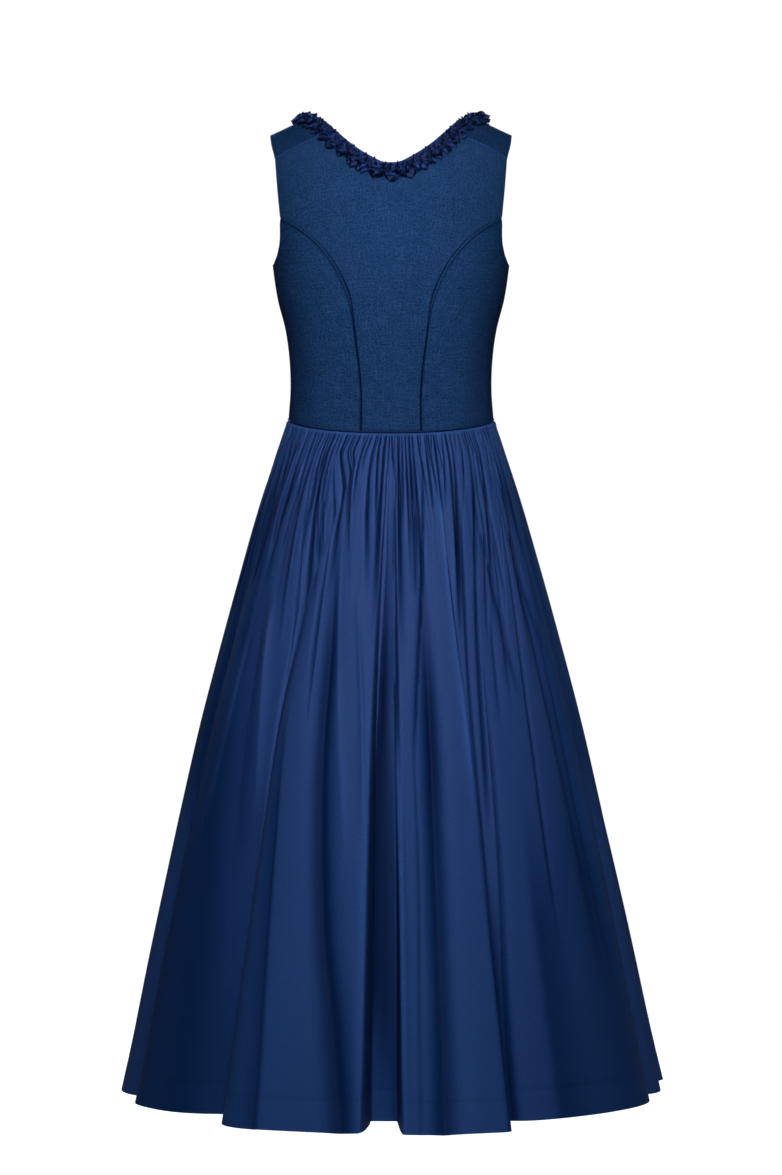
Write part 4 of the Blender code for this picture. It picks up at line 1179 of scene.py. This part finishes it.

# Main creases: depth in mm (a ridge is negative), half width in mm at the lower end, how much
# painted shade darkens the cloth in it (below nothing, a painted highlight), the side it opens to,
# where its other side is sharp, and its path: hundredths of the way down and lines of cloth. Where
# the depth is nothing, the row is only painted shade or highlight over a wider stretch, such as a
# hollow between folds.
CREASES = [
    (6.0, 8.0, 0.74, 1, (0, 52.5), (10, 53.0), (20, 53.5), (38, 54.0)),
    (-3.0, 5.0, -0.15, 0, (30, 51.2), (42, 52.5), (50, 54.0), (62, 55.5)),
    (3.0, 2.4, 0.50, 0, (1, 51.5), (8, 50.0), (14, 50.5), (20, 48.0)),
    (4.5, 5.6, 0.70, 1, (3, 38.0), (10, 38.5), (15, 39.3), (26, 39.5)),
    (3.0, 16.0, 0.25, 0, (22, 45.0), (35, 44.5), (50, 43.5), (70, 42.0)),
    (-4.5, 10.0, -0.20, 0, (24, 41.5), (35, 40.5), (45, 39.0), (60, 38.3)),
    (2.5, 3.0, 0.30, 0, (10, 33.6), (20, 33.0), (30, 33.0), (40, 33.2)),
    (3.0, 2.6, 0.45, 0, (3, 30.6), (10, 30.0), (15, 29.0), (22, 28.5)),
    (4.5, 4.4, 0.70, 1, (2, 24.6), (8, 24.5), (14, 23.9), (25, 23.3), (44, 21.5)),
    (4.0, 30.0, 0.52, 1, (36, 28.9), (50, 27.3), (60, 26.1), (70, 25.1), (90, 23.2), (130, 21.5)),
    (0.0, 90.0, 0.26, 0, (30, 36.0), (50, 34.0), (80, 33.0), (160, 33.0)),
    (10.0, 24.0, 0.80, 0, (12, 20.5), (24, 18.6), (34, 17.4), (44, 16.6), (54, 15.6), (64, 14.2),
     (74, 12.6), (84, 10.4), (95, 8.6), (125, 6.5)),
    (-3.0, 8.0, -0.20, 0, (16, 17.4), (27, 16.0), (40, 13.4), (50, 11.2), (66, 8.8)),
    (-3.0, 5.0, -0.14, 0, (24, 8.6), (40, 6.6), (50, 5.9), (62, 5.4)),
    (4.0, 12.0, 0.78, -1, (6, 1.8), (12, 1.4), (20, 1.7), (30, 2.3), (40, 3.0), (50, 3.6),
     (70, 3.9), (140, 4.0)),
    (0.0, 18.0, 0.80, 0, (22, 1.4), (50, 1.6), (70, 1.4), (105, 1.6)),
    (2.5, 3.6, 0.50, 0, (5, -1.8), (10, -1.4), (16, -1.0), (24, 0.4)),
    (-4.0, 7.0, -0.12, 0, (18, -0.7), (45, -1.5), (70, -2.0), (110, -2.3)),
    (3.0, 2.2, 0.55, 0, (2, -2.4), (8, -3.0), (15, -2.5)),
    (4.5, 4.8, 0.76, 1, (2, -14.0), (8, -12.5), (20, -9.9), (33, -7.4), (40, -6.2), (52, -4.9)),
    (2.0, 5.0, 0.22, 0, (42, -4.9), (60, -5.4), (80, -5.0), (110, -4.6)),
    (10.0, 22.0, 0.72, 0, (22, -9.0), (40, -9.2), (60, -8.8), (80, -8.6), (125, -7.6)),
    (2.5, 3.0, 0.55, 0, (4, -21.4), (25, -21.9), (40, -22.2), (55, -22.8), (80, -23.0)),
    (4.5, 3.6, 0.65, 0, (2, -26.7), (20, -25.7), (35, -25.4), (50, -25.0), (64, -24.2)),
    (4.0, 10.0, 0.50, -1, (30, -26.8), (45, -27.0), (60, -26.6), (80, -25.0), (130, -24.7)),
    (3.5, 2.8, 0.55, 0, (2, -28.4), (8, -27.7), (16, -30.2), (22, -29.6), (33, -29.2)),
    (3.0, 6.0, 0.25, 0, (28, -30.8), (34, -31.2), (44, -31.2)),
    (3.0, 5.0, 0.30, 0, (14, -33.8), (22, -35.2), (30, -35.7), (42, -35.7)),
    (3.5, 4.2, 0.55, 0, (2, -39.2), (8, -39.8), (14, -40.2), (20, -41.5), (45, -41.8), (60, -41.2),
     (80, -40.8)),
    (6.0, 13.0, 0.42, 0, (10, -41.0), (17, -45.2), (28, -50.7), (42, -52.8), (60, -54.2),
     (88, -54.7)),
    (3.5, 6.0, 0.35, 0, (15, -56.8), (22, -58.7), (32, -60.2)),
    (0.0, 130.0, 0.58, 0, (30, 60.0), (60, 52.0), (80, 48.0), (170, 48.0)),
    (0.0, 110.0, 0.38, 0, (40, -50.2), (60, -54.2), (80, -56.2), (170, -58.2)),
    (0.0, 90.0, 0.50, -1, (50, -35.2), (80, -35.2), (170, -35.2)),
    (0.0, 90.0, 0.56, 0, (40, 68.0), (80, 66.0), (170, 66.0)),
    (6.0, 14.0, 0.30, 0, (26, -57.5), (58, -58.4), (90, -60.0)),
    (5.0, 10.0, 0.35, 0, (8, 70.0), (49, 72.0), (90, 72.0)),
    (5.0, 11.0, 0.35, 0, (8, -72.0), (50, -72.0), (92, -74.0)),
    (6.0, 12.0, 0.40, 0, (10, 88.0), (45, 91.5), (80, 92.0)),
    (6.0, 9.0, 0.40, 0, (6, 100.0), (56, 103.0), (105, 104.0)),
    (6.0, 16.0, 0.30, 0, (16, 118.0), (52, 117.5), (88, 120.0)),
    (5.5, 6.0, 0.45, 0, (7, 128.0), (56, 131.5), (105, 133.0)),
    (-4.0, 11.0, 0.00, 0, (20, 140.0), (50, 142.0), (80, 143.0)),
    (5.0, 7.0, 0.45, 0, (8, 152.0), (54, 151.2), (100, 148.5)),
    (8.0, 18.0, 0.35, 0, (26, 163.0), (66, 163.0), (105, 160.0)),
    (6.0, 7.0, 0.45, 0, (5, 176.0), (45, 176.5), (85, 177.0)),
    (7.0, 18.0, 0.35, 0, (30, 190.0), (68, 193.5), (105, 194.0)),
    (5.0, 6.0, 0.45, 0, (8, 204.0), (57, 207.0), (105, 208.0)),
    (5.5, 14.0, 0.30, 0, (20, 222.0), (51, 222.0), (82, 226.0)),
    (5.0, 7.0, 0.40, 0, (7, 236.0), (51, 238.5), (95, 239.0)),
    (-4.5, 14.0, 0.00, 0, (24, 250.0), (57, 252.0), (90, 252.0)),
    (5.5, 8.0, 0.40, 0, (8, 262.0), (49, 263.2), (90, 263.5)),
    (-5.5, 17.0, -0.30, 0, (6, 15.5), (15, 22.9), (20, 26.7), (30, 31.9), (40, 34.3), (50, 35.3),
     (66, 35.7), (130, 36.2)),
    (0.0, 8.0, -0.80, 0, (0, -18.6), (20, -18.6), (60, -18.6)),
    (0.0, 9.0, 0.80, 0, (56, -18.6), (80, -18.8), (160, -19.0)),
    (0.0, 24.0, 0.60, 0, (60, -23.6), (80, -23.8), (150, -24.4)),
    (0.0, 12.0, -0.35, 0, (30, 5.2), (60, 5.2), (140, 5.2)),
    (0.0, 8.0, -0.55, 0, (8, -1.7), (30, -1.7), (130, -1.8)),
    (0.0, 15.0, 0.34, 0, (20, -9.4), (34, -9.3), (60, -8.8)),
    (0.0, 12.0, 0.45, 1, (40, 0.2), (70, -0.6), (140, -1.2)),
    (0.0, 70.0, 0.46, 0, (0, 62.0), (20, 62.0), (60, 64.0)),
    (0.0, 60.0, 0.55, 0, (0, 78.0), (20, 78.0), (66, 78.0)),
    (0.0, 60.0, 0.30, 0, (0, -80.0), (20, -80.0), (66, -80.0)),
    (0.0, 90.0, -0.18, 0, (60, -8.0), (90, -8.0), (160, -8.0)),
    (0.0, 70.0, -0.10, 0, (60, 20.0), (90, 20.0), (160, 20.0)),
    (0.0, 50.0, 0.14, 0, (6, 52.0), (26, 50.0), (60, 46.0)),
    (0.0, 60.0, 0.36, 0, (0, -66.0), (20, -66.0), (60, -68.0)),
    (4.5, 4.6, 0.66, 1, (5, 43.4), (10, 45.1), (15, 47.4), (20, 48.6), (27, 49.6), (36, 49.4)),
    (3.5, 4.0, 0.55, 1, (2, 62.0), (7, 60.4), (11, 57.2), (16, 53.6), (26, 52.0)),
    (4.5, 5.2, 0.62, -1, (9, -39.6), (14, -42.5), (20, -48.0), (28, -53.4), (40, -58.6)),
    (4.0, 4.6, 0.58, 0, (9, -24.6), (14, -26.9), (20, -30.8), (29, -35.3), (42, -40.2)),
    (3.0, 4.0, 0.50, 0, (4, 25.6), (10, 27.2), (16, 28.2), (26, 26.4)),
    (3.0, 3.4, 0.55, -1, (2, 30.6), (6, 31.4), (12, 32.8), (19, 33.2)),
    (3.0, 3.4, 0.55, 1, (2, 36.6), (6, 35.2), (11, 33.8), (17, 33.4)),
    (3.0, 3.4, 0.55, 1, (2, 28.2), (6, 28.4), (11, 27.8), (18, 26.9)),
    (3.5, 4.0, 0.50, 1, (2, 21.2), (6, 20.2), (12, 20.4), (19, 19.6)),
    (3.0, 4.0, 0.45, 0, (10, -9.0), (16, -8.0), (26, -7.2)),
    (3.0, 5.0, 0.40, 1, (2, -30.6), (8, -31.4), (15, -35.0), (26, -38.6)),
    (3.0, 5.0, 0.45, 1, (1, -43.0), (6, -44.5), (13, -47.5), (20, -51.0)),
    (3.0, 5.0, 0.45, 0, (1, -48.0), (6, -50.5), (14, -54.5), (22, -57.5)),
    (3.0, 4.4, 0.50, 0, (1, 44.6), (5, 45.0), (10, 46.2), (16, 47.6)),
    (3.0, 4.0, 0.40, 0, (2, 41.8), (6, 41.4), (12, 41.6), (20, 42.6)),
    (3.5, 6.0, 0.45, 0, (1, 57.5), (6, 58.0), (14, 58.4), (26, 59.5)),
]
CREASE_NARROW = 0.35  # share of its width that a crease has at its upper end
CREASE_BEGINS, CREASE_ENDS = 0.22, 0.28  # shares of its length over which it begins and ends
SHARP_SIDE = 0.22  # share of its width that the sharp side of a crease has

# Gathers, by how far they run: least and greatest reach down, depth and half width at the start,
# and how both grow with the distance from the waist. A shorter one runs into a longer.
GATHERS = [
    (0.030, 0.080, 0.0016, 0.00075, 0.006, 0.010),
    (0.080, 0.170, 0.0020, 0.00085, 0.012, 0.014),
    (0.180, 0.400, 0.0022, 0.00100, 0.013, 0.018),
]
GATHER_ORDER, GATHER_IN_ORDER = (2, 0, 1, 0), 0.85  # and the share of gathers that keep to it
GATHER_SPACE, GATHER_SPACES = 0.0050, (0.45, 1.6)  # and its least and greatest share
GATHER_DEPTHS, GATHER_WIDTHS = (0.6, 1.35), (0.8, 1.4)
GATHER_APART, GATHER_WIDER = 0.25, 0.8  # how they lie further apart and are wider at the sides
GATHER_LEVEL = 0.012  # below the waist, where their spaces are counted
GATHER_REACH = 5  # half widths to each side over which a gather acts
GATHER_SEED = 7
GATHER_BEND = 1.4  # how late a gather turns aside
GATHER_FADE, GATHER_SHADE_FADE = 0.75, 0.6  # shares of its length over which it fades
# Its section: how much steeper its sharp side is, its power, and how far the cloth beside it stands
# up. It carries painted shade in its depth, and a painted highlight so many half widths beside it,
# over so many.
GATHER_SHARP, GATHER_POWER, GATHER_RIM = 1.8, 1.35, 0.24
FOLD_SHADOW, FOLD_LIGHT, FOLD_LIGHT_AT, FOLD_LIGHT_REACH = 0.86, 0.22, 1.3, 0.6
WAIST_BAND, WAIST_BAND_END = 0.0020, 0.0028  # of smooth cloth, pressed over the seam, and its end
WAIST_ROLL = {"rise": 0.0014, "at": 0.0026, "reach": 0.0055}  # of the cloth just below the seam
WAIST_PRESS = {"sink": 0.0004, "reach": 0.0020}  # of the cloth in the seam itself
# A painted highlight just below the seam: how much paler, where, and over how much.
WAIST_LIGHT = {"paler": 0.25, "at": 0.002, "reach": 0.0016}
# Hem stitches: pitch, length, radius, how far they draw the cloth in and over how much, the painted
# shade in their dimples, and the least pull between them.
HEM_STITCH = {
    "pitch": 0.0088, "length": 0.0016, "radius": 0.00015,
    "pull": 0.0004, "reach": 0.0020, "shadow": 0.17, "least": 0.70,
}
SKIRT_ROWS = 80
ROWS_EVEN, ROWS_CROWDING = 0.14, 1.7  # share of the rows at even steps, and how the others crowd
ROWS_AT_TURN = np.array([-0.0050, -0.0018, 0.0018, 0.0050])  # from the hem's stitches
BACK_COLUMNS, FRONT_COLUMNS = 960, 400
WAIST_SHARE = 0.66  # how far the columns follow the cloth at the waist, and not that at the hem


def waist_turn(hem_degrees):
    """Where on the waist a line of cloth starts that ends at these degrees on the hem."""
    hem, turn = [], []
    for fold in FOLDS:
        hem += [fold["hem_from"], fold["hem_to"]]
        turn += [fold["waist_from"] - fold["hem_from"], fold["waist_to"] - fold["hem_to"]]
    return hem_degrees + np.interp(hem_degrees, hem, turn, period=360.0)


def hem_degrees_of(line, down):
    """Where a line of cloth has got to, in hem degrees, a share of the way down."""
    line, down = np.broadcast_arrays(np.asarray(line, float), np.asarray(down, float))
    aside, reach, bend = (np.interp(line, CLOTH_RUN[:, 0], CLOTH_RUN[:, k]) for k in (1, 2, 3))
    below = np.maximum(down - CLOTH_RUN_FROM, 0.0)
    return line + aside * np.exp(-((below / reach) ** bend))


def skirt_surface(hem_degrees, down):
    """Point of the skirt on the line of cloth that ends at hem_degrees, a share of the way down."""
    hem_degrees, down = np.broadcast_arrays(hem_degrees, down)
    rise = np.zeros(hem_degrees.shape)
    for fold in FOLDS:
        for lap in (0.0, -360.0, 360.0):
            middle = 0.5 * (fold["hem_from"] + fold["hem_to"]) + lap
            half = 0.5 * (fold["hem_to"] - fold["hem_from"])
            off = np.clip((hem_degrees - middle) / half, -1.0, 1.0)
            steep = np.where(off < 0.0, fold["steep_from"], fold["steep_to"])
            rise += fold["rise"] * (1.0 - np.abs(off) ** steep) ** FOLD_EDGE
    start = waist_turn(hem_degrees)
    at_side = smooth(FLARE[:, 0], FLARE[:, 1], down)
    opened = (at_side - FLARE[0, 1]) / (FLARE[-1, 1] - FLARE[0, 1])
    swing = np.clip(FOLD_SWING * opened, 0.0, 1.0)
    degrees = start + (hem_degrees - start) * swing * (2.0 - swing)
    angle = np.radians(degrees)
    waist_level = waist_height(degrees)
    waist_depth = np.where(
        np.cos(angle) > 0,
        smooth(SECTIONS[:, 0], SECTIONS[:, 2], waist_level),
        smooth(SECTIONS[:, 0], SECTIONS[:, 3], waist_level),
    )
    depth = (waist_depth - WAIST_TUCK) * (1.0 - opened) + HEM_DEPTH * opened
    power = 2.0 / (SECTION_POWER + (2.0 - SECTION_POWER) * opened)
    sine, cosine = np.sin(angle), np.cos(angle)
    x = at_side * np.sign(sine) * np.abs(sine) ** power
    y = depth * np.sign(cosine) * np.abs(cosine) ** power
    out = 1.0 + rise * down**FOLD_GROWTH / np.hypot(x, y)
    top = waist_level - WAIST_TUCK
    z = top + (-HEM_DROP - top) * down
    return np.stack([x * out, y * out, z], axis=-1)


def skirt_turns():
    """Hem degrees of the columns round the skirt, from the right side seam round the back."""
    dense = np.linspace(-90.0, 270.0, 7201)
    shares = []
    for down in (1.0, CLOTH_RUN_FROM):
        points = skirt_surface(hem_degrees_of(dense, down), down)
        steps = np.linalg.norm(np.diff(points, axis=0), axis=1)
        shares.append(np.concatenate([[0.0], np.cumsum(steps / steps.sum())]))
    length = (1.0 - WAIST_SHARE) * shares[0] + WAIST_SHARE * shares[1]
    turns = []
    for seams, count in (
        ((-90, 90), BACK_COLUMNS), ((90, 180), FRONT_COLUMNS), ((180, 270), FRONT_COLUMNS)
    ):
        reach = np.interp(seams, dense, length)
        turns.append(np.interp(np.linspace(*reach, count + 1), length, dense))
    return np.concatenate([turns[0], turns[1][1:], turns[2][1:]])


def skirt_rows():
    """Shares of the way down: close together below the waist, and again at the hem's turn."""
    t = np.linspace(0.0, 1.0, SKIRT_ROWS - 3)
    down = ROWS_EVEN * t + (1.0 - ROWS_EVEN) * t**ROWS_CROWDING
    down[np.argmin(np.abs(down - HEM_AT))] = HEM_AT
    return np.sort(np.concatenate([down, HEM_AT + ROWS_AT_TURN]))


def gather_rows(ring, waist_run):
    """Every gather: the turns where it starts and ends, its reach, depth, width and growth."""
    rng = np.random.default_rng(GATHER_SEED)
    close = np.sqrt(np.cos(np.radians(waist_turn(ring))) ** 2 + GATHER_APART)
    packed = np.concatenate([[0.0], np.cumsum(np.diff(waist_run) * close[1:])])
    spaces = rng.uniform(*GATHER_SPACES, int(packed[-1] / GATHER_SPACE * 1.2))
    places = np.cumsum(GATHER_SPACE * spaces)
    turns = np.interp(places[places < packed[-1]], packed, ring)
    wider = np.interp(turns, ring, close) ** -GATHER_WIDER
    rows = []
    for k, turn in enumerate(turns):
        in_order = rng.uniform() < GATHER_IN_ORDER
        size = GATHER_ORDER[k % 4] if in_order else int(rng.integers(0, 3))
        reach_from, reach_to, depth, width, deepen, widen = GATHERS[size]
        side, opens = int(rng.choice((-1, 1))), int(rng.choice((-1, 1)))
        beside = k + side * (2 if size == 1 and k % 4 == 2 else 1)
        into = turns[min(max(beside, 0), len(turns) - 1)]
        # The longest lean a little, and the others run into the one beside them.
        end = turn if size == 2 else turn + (into - turn) * rng.uniform(0.6, 0.95)
        end += rng.uniform(-0.6, 0.6) if size == 2 else 0.0
        reach, depth = rng.uniform(reach_from, reach_to), depth * rng.uniform(*GATHER_DEPTHS)
        width *= rng.uniform(*GATHER_WIDTHS) * wider[k]
        rows.append((turn, end, reach, depth, width, deepen, widen, opens))
    return rows


def lay_gathers(lift, shade, ring, run, drop):
    """Sinks each gather into the cloth, row by row, steeper on one side, and paints its shade and a
    highlight beside it.
    """
    near_waist = int(np.argmin(np.abs(drop - GATHER_LEVEL)))
    for start, end, reach, depth, width, deepen, widen, opens in gather_rows(ring, run[near_waist]):
        for r in np.flatnonzero(drop < reach):
            share = drop[r] / reach
            middle = np.interp(start + (end - start) * share**GATHER_BEND, ring, run[r])
            half = width + widen * drop[r]
            begun = step_up((drop[r] - WAIST_BAND) / WAIST_BAND_END)
            deep = (depth + deepen * drop[r]) * step_up((1.0 - share) / GATHER_FADE) * begun
            beyond = GATHER_REACH * half
            i, j = np.searchsorted(run[r], (middle - beyond, middle + beyond))
            side = (run[r, i:j] - middle) / half * opens
            off = np.where(side < 0.0, -side * GATHER_SHARP, side)
            lift[r, i:j] -= deep * (np.exp(-off**GATHER_POWER) - GATHER_RIM)
            fade = step_up((1.0 - share) / GATHER_SHADE_FADE) * begun
            paler = np.exp(-(((side + FOLD_LIGHT_AT) / FOLD_LIGHT_REACH) ** 2))
            shade[r, i:j] *= 1.0 - FOLD_SHADOW * fade * np.exp(-((off * 0.9) ** 2.6))
            shade[r, i:j] *= 1.0 + FOLD_LIGHT * fade * paler


def lay_creases(lift, shade, ring, run, down):
    """Sinks the main creases into the cloth, raises its ridges, and paints shade or highlight on
    both.
    """
    for depth, width, shadow, opens, *path in CREASES:
        reached, lines = np.array(path).T
        reached = reached / 100.0
        share = np.clip((down - reached[0]) / (reached[-1] - reached[0]), 0.0, 1.0)
        fade = step_up(share / CREASE_BEGINS) * step_up((1.0 - share) / CREASE_ENDS)
        for r in np.flatnonzero(fade):
            half = width / 1000.0 * (CREASE_NARROW + (1.0 - CREASE_NARROW) * share[r])
            off = (run[r] - np.interp(smooth(reached, lines, down[r]), ring, run[r])) / half
            off = np.where(off * opens < 0.0, off / SHARP_SIDE, off)
            lift[r] -= depth / 1000.0 * fade[r] * np.exp(-(np.abs(off) ** 1.5))
            shade[r] *= 1.0 - shadow * fade[r] * np.exp(-((off * 1.1) ** 2))


def skirt_cloth(ring, down):
    """The whole skirt as one grid of points, from the right side seam round the back."""
    columns, rows = np.meshgrid(ring, down)
    base = skirt_surface(hem_degrees_of(columns, rows), rows)
    run, fall = run_along(base, 1), run_along(base, 0)
    drop = fall.mean(axis=1)
    lift, shade = np.zeros(run.shape), np.ones(run.shape)
    lay_gathers(lift, shade, ring, run, drop)
    lay_creases(lift, shade, ring, run, down)
    # Just below the seam the cloth is pressed, rolls out a little and catches the light, with a
    # painted highlight there as well.
    roll = np.exp(-(((drop - WAIST_ROLL["at"]) / WAIST_ROLL["reach"]) ** 2))
    roll *= WAIST_ROLL["rise"] * step_up(drop / WAIST_ROLL["at"])
    pressed = WAIST_PRESS["sink"] * np.exp(-drop / WAIST_PRESS["reach"])
    lift += (roll - pressed)[:, None]
    paler = np.exp(-((drop - WAIST_LIGHT["at"]) / WAIST_LIGHT["reach"]) ** 2)
    shade *= (1.0 + WAIST_LIGHT["paler"] * paler)[:, None]
    # The hem's stitches draw the cloth in a little, most where each catches it, least between, with
    # painted shade in the dimples.
    k = int(np.argmin(np.abs(down - HEM_AT)))
    least = HEM_STITCH["least"]
    caught = least + (1.0 - least) * np.cos(math.pi * run[k] / HEM_STITCH["pitch"]) ** 4
    near_hem = np.exp(-(((drop - drop[k]) / HEM_STITCH["reach"]) ** 2))[:, None] * caught
    lift -= HEM_STITCH["pull"] * near_hem
    shade *= 1.0 - HEM_STITCH["shadow"] * near_hem
    return base + outward_of(base) * lift[..., None], shade, run, fall


down = skirt_rows()
cloth, shade, run, fall = skirt_cloth(skirt_turns(), down)
double = SKIRT_WALL * np.where(down > HEM_AT - 1e-6, HEM_LAYERS, 1.0)[:, None]
first = 0
for node_name, count, flat, area in (
    ("skirt_back", BACK_COLUMNS, (1.400, 0.965), 1.02),
    ("skirt_front_left", FRONT_COLUMNS, (0.700, 0.965), 0.51),
    ("skirt_front_right", FRONT_COLUMNS, (0.700, 0.965), 0.51),
):
    part = np.s_[:, first : first + count + 1]
    grain = np.stack([run[part], fall[part]], axis=-1)
    width = sheet_of_cloth(f"{node_name}_width", cloth[part], double, grain, SATIN, shade[part])
    dressed(width, node_name, "navy_satin", flat=flat, area=area, held="gathered")
    first += count

# ------------------------------------------------------------------------------------------------
# Hem stitches: the row of small blind stitches that holds the turned-up hem, of sewing thread in
# the skirt's colour. Each is a short straight stitch lying in the cloth along the line of the hem.
# ------------------------------------------------------------------------------------------------
STITCH_JITTER, STITCH_SEED = 0.25, 11
THREAD_DARK = (0.0100, 0.0340, 0.125, 1.0)
THREAD_LIGHT = (0.0200, 0.0620, 0.205, 1.0)


def sewing_thread():
    """Navy polyester thread: twisted, slightly paler than the cloth, with a faint sheen."""
    material, tree, shader = new_material("navy thread", roughness=0.5, specular=0.25)
    place = node(tree, "ShaderNodeTexCoord").outputs["Object"]
    twist = node(tree, "ShaderNodeTexNoise", Vector=place, Scale=900.0, Detail=2.0).outputs[0]
    colour = between(tree, twist, THREAD_DARK, THREAD_LIGHT)
    tree.links.new(colour, shader.inputs["Base Color"])
    return material


def stitch_nodes():
    """A node group that lays one short stitch at even steps along a line of edges."""
    group, sockets = node_group(
        "hem stitches", "GeometryNodeTree",
        [
            ("Line", "Geometry", None),
            ("Pitch", "Float", 0.009),
            ("Length", "Float", 0.0016),
            ("Radius", "Float", 0.0002),
            ("Jitter", "Float", 0.2),
            ("Seed", "Int", 0),
            ("Thread", "Material", None),
        ],
        [("Stitches", "Geometry")],
    )
    given = group.nodes.new("NodeGroupInput").outputs
    curve = node(group, "GeometryNodeMeshToCurve", Mesh=given["Line"])
    even = node(
        group, "GeometryNodeResampleCurve", {"mode": "LENGTH"},
        Curve=curve.outputs[0], Length=given["Pitch"],
    )
    stitch = node(
        group, "GeometryNodeMeshCylinder",
        **{"Vertices": 6, "Side Segments": 4, "Radius": given["Radius"], "Depth": given["Length"]},
    )
    tangent = node(group, "GeometryNodeInputTangent").outputs[0]
    along = node(group, "FunctionNodeAlignRotationToVector", {"axis": "Z"}, Vector=tangent)
    least = maths(group, "MULTIPLY", given["Jitter"], -1.0)
    wobble = node(
        group, "FunctionNodeRandomValue", {"data_type": "FLOAT_VECTOR"},
        Min=least, Max=given["Jitter"], Seed=given["Seed"],
    )
    spin = node(group, "FunctionNodeEulerToRotation", i0=wobble.outputs["Value"])
    lean = node(group, "FunctionNodeRotateRotation", i0=along.outputs[0], i1=spin.outputs[0])
    laid = node(
        group, "GeometryNodeInstanceOnPoints",
        Points=even.outputs[0], Instance=stitch.outputs["Mesh"], Rotation=lean.outputs[0],
    )
    real = node(group, "GeometryNodeRealizeInstances", i0=laid.outputs[0])
    sewn = node(
        group, "GeometryNodeSetMaterial", Geometry=real.outputs[0], Material=given["Thread"]
    )
    node(group, "NodeGroupOutput", i0=sewn.outputs[0])
    return group, sockets


hem_row = int(np.argmin(np.abs(down - HEM_AT)))
line = in_place(cloth[hem_row, :-1])
mesh = bpy.data.meshes.new("hem line")
mesh.from_pydata(line.tolist(), [(k, (k + 1) % len(line)) for k in range(len(line))], [])
path = placed("hem line", mesh)
laying = path.modifiers.new("stitches", "NODES")
laying.node_group, sockets = stitch_nodes()
for name, value in (
    ("Pitch", HEM_STITCH["pitch"]),
    ("Length", HEM_STITCH["length"]),
    ("Radius", HEM_STITCH["radius"]),
    ("Jitter", STITCH_JITTER),
    ("Seed", STITCH_SEED),
    ("Thread", sewing_thread()),
):
    laying[sockets[name]] = value
evaluated = path.evaluated_get(bpy.context.evaluated_depsgraph_get())
stitches = placed("hem_stitches", bpy.data.meshes.new_from_object(evaluated))
bpy.data.objects.remove(path)
stitches.data.shade_smooth()
stitches.data.set_sharp_from_angle(angle=math.radians(TUBE_SHARP_FROM))
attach(stitches, "root")

# ------------------------------------------------------------------------------------------------
# Studio: a plain pale floor, a large soft light before the garment's back and weaker ones around,
# and the camera level with the middle of the dress.
# ------------------------------------------------------------------------------------------------
FLOOR_LEVEL, FLOOR_RADIUS, FLOOR_SIDES = -1.430, 1.6, 96
CAMERA_DISTANCE, CAMERA_HEIGHT, LENS = 4.2, -0.628, 94.6
WHITE, BLUISH = (1.0, 1.0, 1.0), (0.35, 0.62, 1.0)
SURROUNDINGS, SURROUNDINGS_STRENGTH = (0.75, 0.85, 1.0, 1.0), 0.03
LIGHTS = named("name place towards size spread power colour", [
    ("key", (0.0, 2.2, 0.9), (0.0, 0.0, -0.30), 0.8, 100, 17.3, WHITE),
    ("fill", (0.0, 4.0, -0.5), (0.0, 0.0, -1.15), 1.0, 34, 0.62, (0.35, 0.85, 1.45)),
    ("pool", (0.0, 2.2, 0.9), (0.0, 0.1, -0.15), 0.3, 12, 0.19, WHITE),
    ("blush", (0.0, 2.2, 0.9), (0.0, 0.1, -0.54), 0.8, 28, 0.80, (1.0, 0.30, 0.45)),
    ("front", (0.3, -3.2, 1.3), (0.0, 0.0, -0.35), 1.2, 120, 36.0, (0.45, 0.70, 1.0)),
    ("left", (2.6, -2.1, 0.5), (0.0, 0.0, -0.35), 1.0, 120, 4.0, BLUISH),
    ("right", (-2.6, -2.1, 0.5), (0.0, 0.0, -0.35), 1.0, 120, 4.0, BLUISH),
    ("top", (0.0, 0.2, 2.8), (0.0, 0.0, 0.0), 1.6, 120, 1.5, WHITE),
])

mesh = bpy.data.meshes.new("floor")
ring = [
    (FLOOR_RADIUS * math.cos(turn), FLOOR_RADIUS * math.sin(turn), FLOOR_LEVEL)
    for turn in np.linspace(0, math.tau, FLOOR_SIDES, False)
]
mesh.from_pydata(ring, [], [list(range(FLOOR_SIDES))])
# The floor looks white to the camera, and throws back little light.
pale, tree, shader = new_material("pale floor", roughness=0.9, specular=0.5)
shader.inputs["Base Color"].default_value = (0.5, 0.5, 0.5, 1.0)
shader.inputs["Emission Color"].default_value = (*WHITE, 1.0)
seen = node(tree, "ShaderNodeLightPath").outputs["Is Camera Ray"]
tree.links.new(seen, shader.inputs["Emission Strength"])
mesh.materials.append(pale)
floor = placed("floor", mesh)

for row in LIGHTS:
    lamp = bpy.data.lights.new(row["name"], "AREA")
    lamp.shape, lamp.size, lamp.spread = "DISK", row["size"], math.radians(row["spread"])
    lamp.energy, lamp.color = row["power"], row["colour"]
    light = placed(row["name"], lamp)
    light.location = row["place"]
    aim = Vector(row["towards"]) - Vector(row["place"])
    light.rotation_euler = aim.to_track_quat("-Z", "Y").to_euler()

world = bpy.data.worlds.new("studio")
world.use_nodes = True
tree = world.node_tree
tree.nodes.clear()
backdrop = node(tree, "ShaderNodeBackground", Color=(*WHITE, 1.0))
around = node(tree, "ShaderNodeBackground", Color=SURROUNDINGS, Strength=SURROUNDINGS_STRENGTH)
seen = node(tree, "ShaderNodeLightPath").outputs["Is Camera Ray"]
mix = node(tree, "ShaderNodeMixShader", i0=seen, i1=around.outputs[0], i2=backdrop.outputs[0])
node(tree, "ShaderNodeOutputWorld", i0=mix.outputs[0])
bpy.context.scene.world = world
bpy.context.scene.view_settings.view_transform = "Standard"

lens = bpy.data.cameras.new("camera")
lens.lens, lens.sensor_width = LENS, 36.0
camera = placed("camera", lens)
camera.location = (0.0, CAMERA_DISTANCE, CAMERA_HEIGHT)
camera.rotation_euler = (math.radians(90.0), 0.0, math.radians(180.0))
bpy.context.scene.camera = camera
